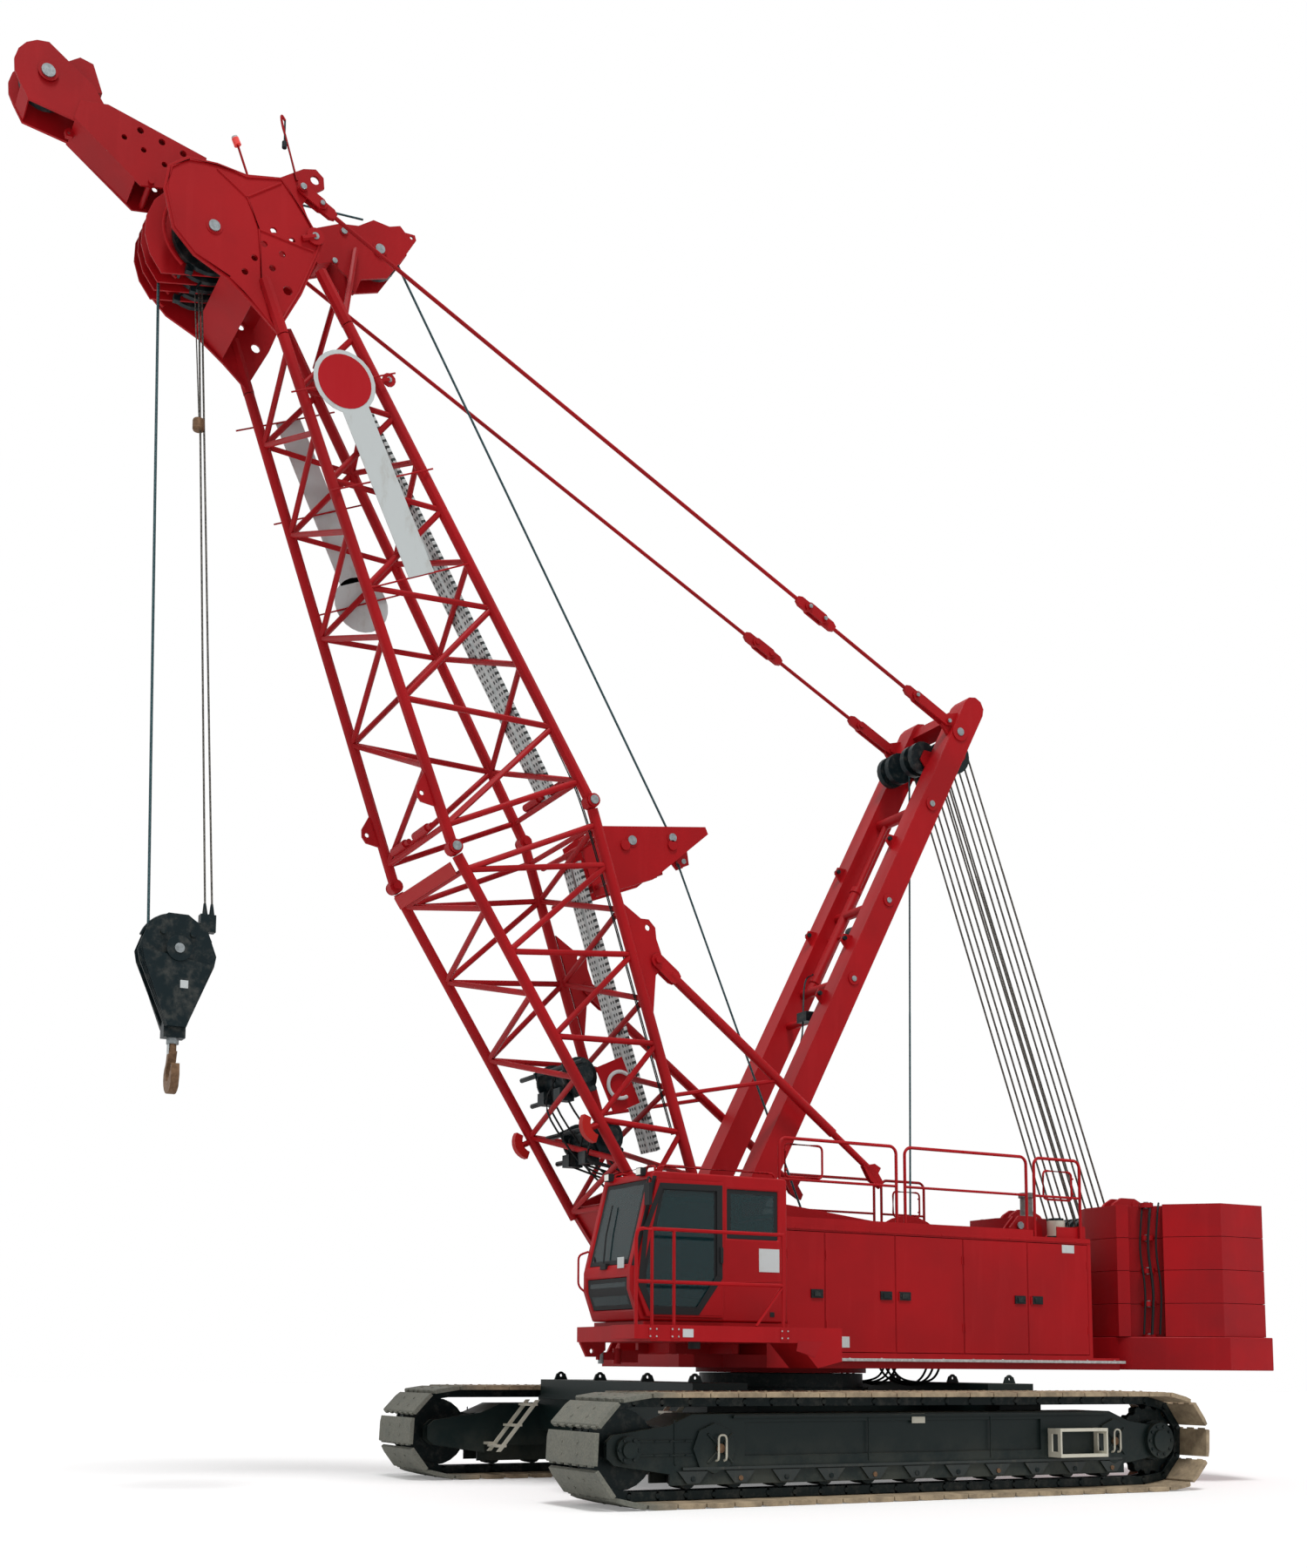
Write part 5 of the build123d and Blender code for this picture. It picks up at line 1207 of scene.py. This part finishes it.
def cab_rails(red):
    """Rails along three edges of the roof, and the grab rail on the front."""
    low, high, left, right = 3.285, 3.345, 2.00, 1.10
    for y in (right, left):
        tube(red, [(2.82, y, low), (2.80, y, high), (1.42, y, high), (1.40, y, low)],
             0.013, 0.06, 6)
    tube(red, [(2.84, right, 3.30), (2.84, right, high), (2.84, left, high), (2.84, left, 3.30)],
         0.013, 0.06, 6)
    tube(red, [(3.09, 1.045, 2.52), (3.20, 1.03, 2.48), (3.20, 1.03, 2.16), (3.13, 1.045, 2.10)],
         0.012, 0.05, 6)


def mirror_and_lamps(dark):
    """Mirror on its arm, and work lamps under the roof's front edge."""
    tube(dark, [(2.92, 2.06, 3.20), (2.99, 2.13, 3.22), (3.00, 2.13, 3.14)], 0.010, 0.04, 6)
    block(dark, (2.975, 2.085, 2.93), (3.010, 2.185, 3.15))
    for y in (1.20, 1.88):
        block(dark, (2.90, y - 0.05, 3.25), (2.965, y + 0.05, 3.33))
        block(trim("cab_lamps", "house", "lamp"), (2.963, y - 0.042, 3.258),
              (2.969, y + 0.042, 3.322))


def wiper(dark, white):
    """The wiper's arm and motor, and a blank plate beside it."""
    tube(dark, [(3.155, 1.50, 2.36), (3.085, 1.42, 2.66), (3.000, 1.40, 2.98)], 0.009, 0.06, 6)
    block(dark, (3.12, 1.44, 2.31), (3.165, 1.56, 2.37))
    block(white, (3.150, 1.80, 2.31), (3.158, 1.93, 2.42))


def cab_door_fittings():
    """The door's handle, the black border of its window and the red corner below it."""
    black = trim("cab_door_gear", "cab_door", "rubber")
    block(black, (2.105, 2.094, 2.38), (2.140, 2.118, 2.54))
    x_in, z_in = DOOR_MIDDLE
    inner = [(x + (x_in - x) * 0.13, z + (z_in - z) * 0.10) for x, z in DOOR_RIM]
    for k in range(len(DOOR_RIM)):
        n = (k + 1) % len(DOOR_RIM)
        strip = (DOOR_RIM[k], DOOR_RIM[n], inner[n], inner[k])
        outline(black, [(x, CAB_DOOR_FACE, z) for x, z in strip], ACROSS * 0.006)
    corner = ((2.105, 1.850), (2.385, 1.850), (2.105, 2.224))
    outline(trim("cab_door_panel", "cab_door", "red"),
            [(x, CAB_DOOR_FACE, z) for x, z in corner], ACROSS * 0.004)


def cab_side(red, dark):
    """Creases of the cab's side behind the door, and the dark strip along the front pillar."""
    bar(red, (1.33, 2.060, 2.22), (2.06, 2.060, 2.19), 0.005, 6)
    bar(red, (1.33, 2.060, 2.22), (1.62, 2.060, 1.86), 0.005, 6)
    pillar = ((2.855, 3.235), (2.900, 3.235), (3.140, 2.330), (3.095, 2.330))
    outline(dark, [(x, 2.0595, z) for x, z in pillar], ACROSS * 0.005)


def seat():
    """The stuffed seat and its backrest."""
    cushion("seat_cushion", (1.50, 1.315, 2.12), (0.535, 0, 0), (0, 0.47, 0), (0, 0, 0.12), "house")
    cushion("seat_back", (1.565, 1.335, 2.22), (-0.085, 0, 0.63), (0, 0.43, 0), (0.11, 0, 0.02),
            "house")


def railing_feet(red, steel):
    """Feet of the railing, each with two bolts above two."""
    for x in (1.66, 2.925, 3.17):
        block(red, (x - 0.05, 2.548, 1.60), (x + 0.05, 2.556, 1.72))
        for dx in (-0.035, 0.035):
            for z in (1.625, 1.695):
                disc(steel, (x + dx, 2.555, z), 0.009, (0, 0.008, 0), 8)


def walkway_gate(red):
    """The railing's slanted end stay, the walkway's front gate and the step at its rear end."""
    y = 2.525
    bar(red, (1.67, y, 2.12), (1.98, y, 1.74), 0.014, 8)
    tube(red, [(3.17, y, 2.66), (3.345, y, 2.66), (3.345, y, 1.72)], 0.018, 0.1, 8)
    bar(red, (3.17, y, 2.15), (3.345, y, 2.15), 0.018, 8)
    block(red, (3.195, 2.075, 1.60), (3.375, 2.550, 1.735))
    step = ((1.30, 1.44), (1.52, 1.50), (1.50, 1.60), (1.20, 1.60))
    outline(trim("cab_step", "house", "dark_red"), [(x, 2.551, z) for x, z in step],
            ACROSS * 0.002)


# hubs in the track frames: x, radius, bolts
HUBS = ((-3.42, 0.20, 10), (3.42, 0.13, 6))
JACKING_POINTS, JACKING_Z = (2.40, -2.74), 0.55
BRACKETS, BRACKET_PITCH, FIRST_BRACKET = 11, 0.54, -2.70


def undercarriage_fittings():
    paint_black = trim("undercarriage_fittings", "undercarriage", "frame_black")
    cream = trim("jacking_handles", "undercarriage", "step_white")
    rust = trim("worn_pins", "undercarriage", "hook_bronze")
    steel = trim("undercarriage_bolts", "undercarriage", "wheel_steel")
    dusty = trim("roller_brackets", "undercarriage", "dusty_black")
    for side in SIDES:
        face = side * TRACK_FRAME_FACE
        jacking_points(side, face, paint_black, cream, rust)
        hubs(side, face, paint_black, steel)
        roller_brackets(side, face, dusty, rust, steel)
        frame_faces(side, face, dusty, paint_black, steel)
        block(cream, (-0.12, face + side * 0.001, 0.77), (0.05, face + side * 0.012, 0.87))


def jacking_points(side, face, paint_black, cream, rust):
    """A cream handle over a worn pin, with four ribs round it."""
    near, far = face + side * 0.02, face + side * 0.075
    for x in JACKING_POINTS:
        back, front = x - 0.045, x + 0.045
        tube(cream, [(back, near, 0.43), (back, far, 0.44), (back, far, 0.68), (front, far, 0.68),
                     (front, far, 0.44), (front, near, 0.43)], 0.011, 0.05, 6)
        disc(rust, (x, near, JACKING_Z), 0.045, (0, side * 0.03, 0))
        for k in range(4):
            a = math.radians(45 + 90 * k)
            ends = [(x + reach * math.cos(a), face + side * out, JACKING_Z + reach * math.sin(a))
                    for reach, out in ((0.06, 0.034), (0.2, 0.030))]
            bar(paint_black, *ends, 0.014, 6)


def hubs(side, face, paint_black, steel):
    """Hubs of the final drive and of the idler, with their bolts."""
    for x, radius, count in HUBS:
        disc(paint_black, (x, face, END_RADIUS), radius, (0, side * 0.05, 0), 28)
        disc(paint_black, (x, face, END_RADIUS), radius * 0.6, (0, side * 0.075, 0), 24)
        for k in range(count):
            a = math.tau * k / count
            disc(steel, (x + radius * 0.8 * math.cos(a), face + side * 0.048,
                         END_RADIUS + radius * 0.8 * math.sin(a)), 0.018, (0, side * 0.014, 0), 6)


def roller_brackets(side, face, dusty, rust, steel):
    """Brackets that hang below the frame at each roller, and the rollers' end caps."""
    bracket = ((-0.17, 0.335), (0.17, 0.335), (0.07, 0.215), (-0.07, 0.215))
    for k in range(BRACKETS):
        x = FIRST_BRACKET + BRACKET_PITCH * k
        outline(dusty, [(x + dx, face, z) for dx, z in bracket], ACROSS * side * 0.022)
        disc(rust if k % 3 == 0 else steel, (x, face + side * 0.02, 0.26), 0.026,
             (0, side * 0.012, 0), 10)
    block(dusty, (-2.85, face, 0.345), (2.82, face + side * 0.030, 0.372))


def frame_faces(side, face, dusty, paint_black, steel):
    """The flanged top ledge, seams of the frame and the tensioner's bolts."""
    block(dusty, (-2.64, face, 0.861), (2.24, face + side * 0.036, 0.868))
    for x in (-1.0, 0.6, 2.9):
        seam = face + side * 0.002
        bar(paint_black, (x, seam, 0.40), (x, seam, 0.83), 0.008, 6)
    for x in (2.78, 2.95, 3.12, 3.30):
        for z in (0.49, 0.625):
            disc(steel, (x, face + side * 0.014, z), 0.014, (0, side * 0.012, 0), 6)


# middle of the hook block's sheaves: x, z
BLOCK_X, BLOCK_Z = 7.25, 5.45


def hook_fittings():
    steel = trim("hook_block_pins", "hook_block", "pin_steel")
    dark = trim("hook_block_gear", "hook_block", "hook_black")
    label = trim("hook_block_label", "hook_block", "board_white")
    for side in SIDES:
        disc(steel, (BLOCK_X, side * 0.163, BLOCK_Z), 0.05, (0, side * 0.014, 0))
        disc(dark, (BLOCK_X, side * 0.15, BLOCK_Z), 0.13, (0, side * 0.016, 0), 20)
        for x, z in ((BLOCK_X, 4.75), (7.10, 5.62), (7.40, 5.62), (BLOCK_X, 5.02)):
            disc(dark, (x, side * 0.078, z), 0.03, (0, side * 0.03, 0), 12)
        block(label, (7.15, side * 0.152, 5.05), (7.23, side * 0.156, 5.13))
    # socket of the dead end at the rear of the cheeks
    block(dark, (6.86, -0.05, 5.68), (7.02, 0.05, 5.86))
    bar(dark, (6.965, 0.0, 5.86), (6.97, 0.0, 5.98), 0.030, 10, tip=0.014)
    bar(dark, (6.895, 0.0, 5.86), (6.897, 0.0, 5.98), 0.030, 10, tip=0.014)
    # rope guard over the top of the block
    guard = ring_plate((BLOCK_X, 0.0, BLOCK_Z), 0.375, (1, 0, 0), (0, 0, 1), 20, 160, 12)
    tube(dark, guard, 0.018, 0.02, 6)
    # collar of the hook's shank, blank tag and safety latch
    bar(steel, (BLOCK_X, 0, 4.50), (BLOCK_X, 0, 4.575), 0.062, 20)
    block(trim("hook_tag", "hook", "board_white"), (7.288, -0.05, 4.40), (7.294, 0.03, 4.53))
    tube(trim("hook_latch", "hook", "bright_steel"),
         [(BLOCK_X, -0.055, 4.31), (BLOCK_X, 0.02, 4.27), (BLOCK_X, 0.115, 4.24)], 0.010, 0.04, 6)


# ------------------------------------------------------------------ stage, light and camera
def stage():
    """A wide pale floor, lit up a little for the camera alone so that it fades into the world."""
    bm = bmesh.new()
    bmesh.ops.create_circle(bm, cap_ends=True, segments=96, radius=90.0)
    mesh = bpy.data.meshes.new("floor")
    bm.to_mesh(mesh)
    bm.free()
    floor = bpy.data.objects.new("floor", mesh)
    floor.location.z = -0.002
    bpy.context.scene.collection.objects.link(floor)
    pale = Finish("floor_white", (0.86, 0.86, 0.86), 0.9)
    seen = Number(pale, pale.add("ShaderNodeLightPath").outputs["Is Camera Ray"])
    pale.put("Emission Color", (1, 1, 1, 1))
    pale.put("Emission Strength", seen * 0.22)
    mesh.materials.append(pale.material)


def light():
    """A white world, dimmer for what it lights than for what looks at it, and a soft sun."""
    lighting, looking = 0.42, 1.0
    world = bpy.data.worlds.new("studio")
    bpy.context.scene.world = world
    world.use_nodes = True
    nodes, links = world.node_tree.nodes, world.node_tree.links
    ray = nodes.new("ShaderNodeLightPath")
    seen = ray.outputs["Is Camera Ray"]
    for other in ("Is Glossy Ray", "Is Transmission Ray"):
        either = nodes.new("ShaderNodeMath")
        either.operation = "MAXIMUM"
        links.new(seen, either.inputs[0])
        links.new(ray.outputs[other], either.inputs[1])
        seen = either.outputs[0]
    strength = nodes.new("ShaderNodeMix")
    strength.data_type = "FLOAT"
    strength.inputs[2].default_value = lighting
    strength.inputs[3].default_value = looking
    links.new(seen, strength.inputs[0])
    nodes["Background"].inputs["Color"].default_value = (1, 1, 1, 1)
    links.new(strength.outputs[0], nodes["Background"].inputs["Strength"])
    sun = bpy.data.lights.new("sun", "SUN")
    sun.energy = 1.9
    sun.angle = math.radians(14)
    lamp = bpy.data.objects.new("sun", sun)
    lamp.rotation_euler = Vector((-0.15, -0.42, -1.0)).to_track_quat("-Z", "Y").to_euler()
    bpy.context.scene.collection.objects.link(lamp)
    bpy.context.scene.view_settings.view_transform = "Standard"


def camera():
    """A camera at eye height in front of the crane, to its left, that looks slightly up."""
    place, yaw, pitch, roll = (11.317, 16.847, 1.351), -117.312, 6.294, 0.424
    yaw, pitch, roll = (math.radians(degrees) for degrees in (yaw, pitch, roll))
    ahead = Vector((math.cos(yaw) * math.cos(pitch), math.sin(yaw) * math.cos(pitch),
                    math.sin(pitch)))
    right = ahead.cross(Vector((0, 0, 1))).normalized()
    up = right.cross(ahead)
    right, up = (math.cos(roll) * right + math.sin(roll) * up,
                 math.cos(roll) * up - math.sin(roll) * right)
    data = bpy.data.cameras.new("camera")
    data.sensor_fit = "VERTICAL"
    data.sensor_width = 30.0
    data.sensor_height = 36.0
    data.lens = 39.23
    data.shift_x = 0.0447
    data.shift_y = 0.25
    data.clip_end = 400.0
    view = bpy.data.objects.new("camera", data)
    view.matrix_world = (Matrix.Translation(place)
                         @ Matrix((right, up, -ahead)).transposed().to_4x4())
    bpy.context.scene.collection.objects.link(view)
    bpy.context.scene.camera = view


camera()
stage()
light()
dress_all()
glaze("cab_glass")
glaze("cab_door_glass")
tracks()
reeving()
hoist_rope()
luff_rope()
falls()
sign_boards()
boom_fittings()
mast_fittings()
house_fittings()
counterweight_fittings()
cab_fittings()
undercarriage_fittings()
hook_fittings()
make_trim()
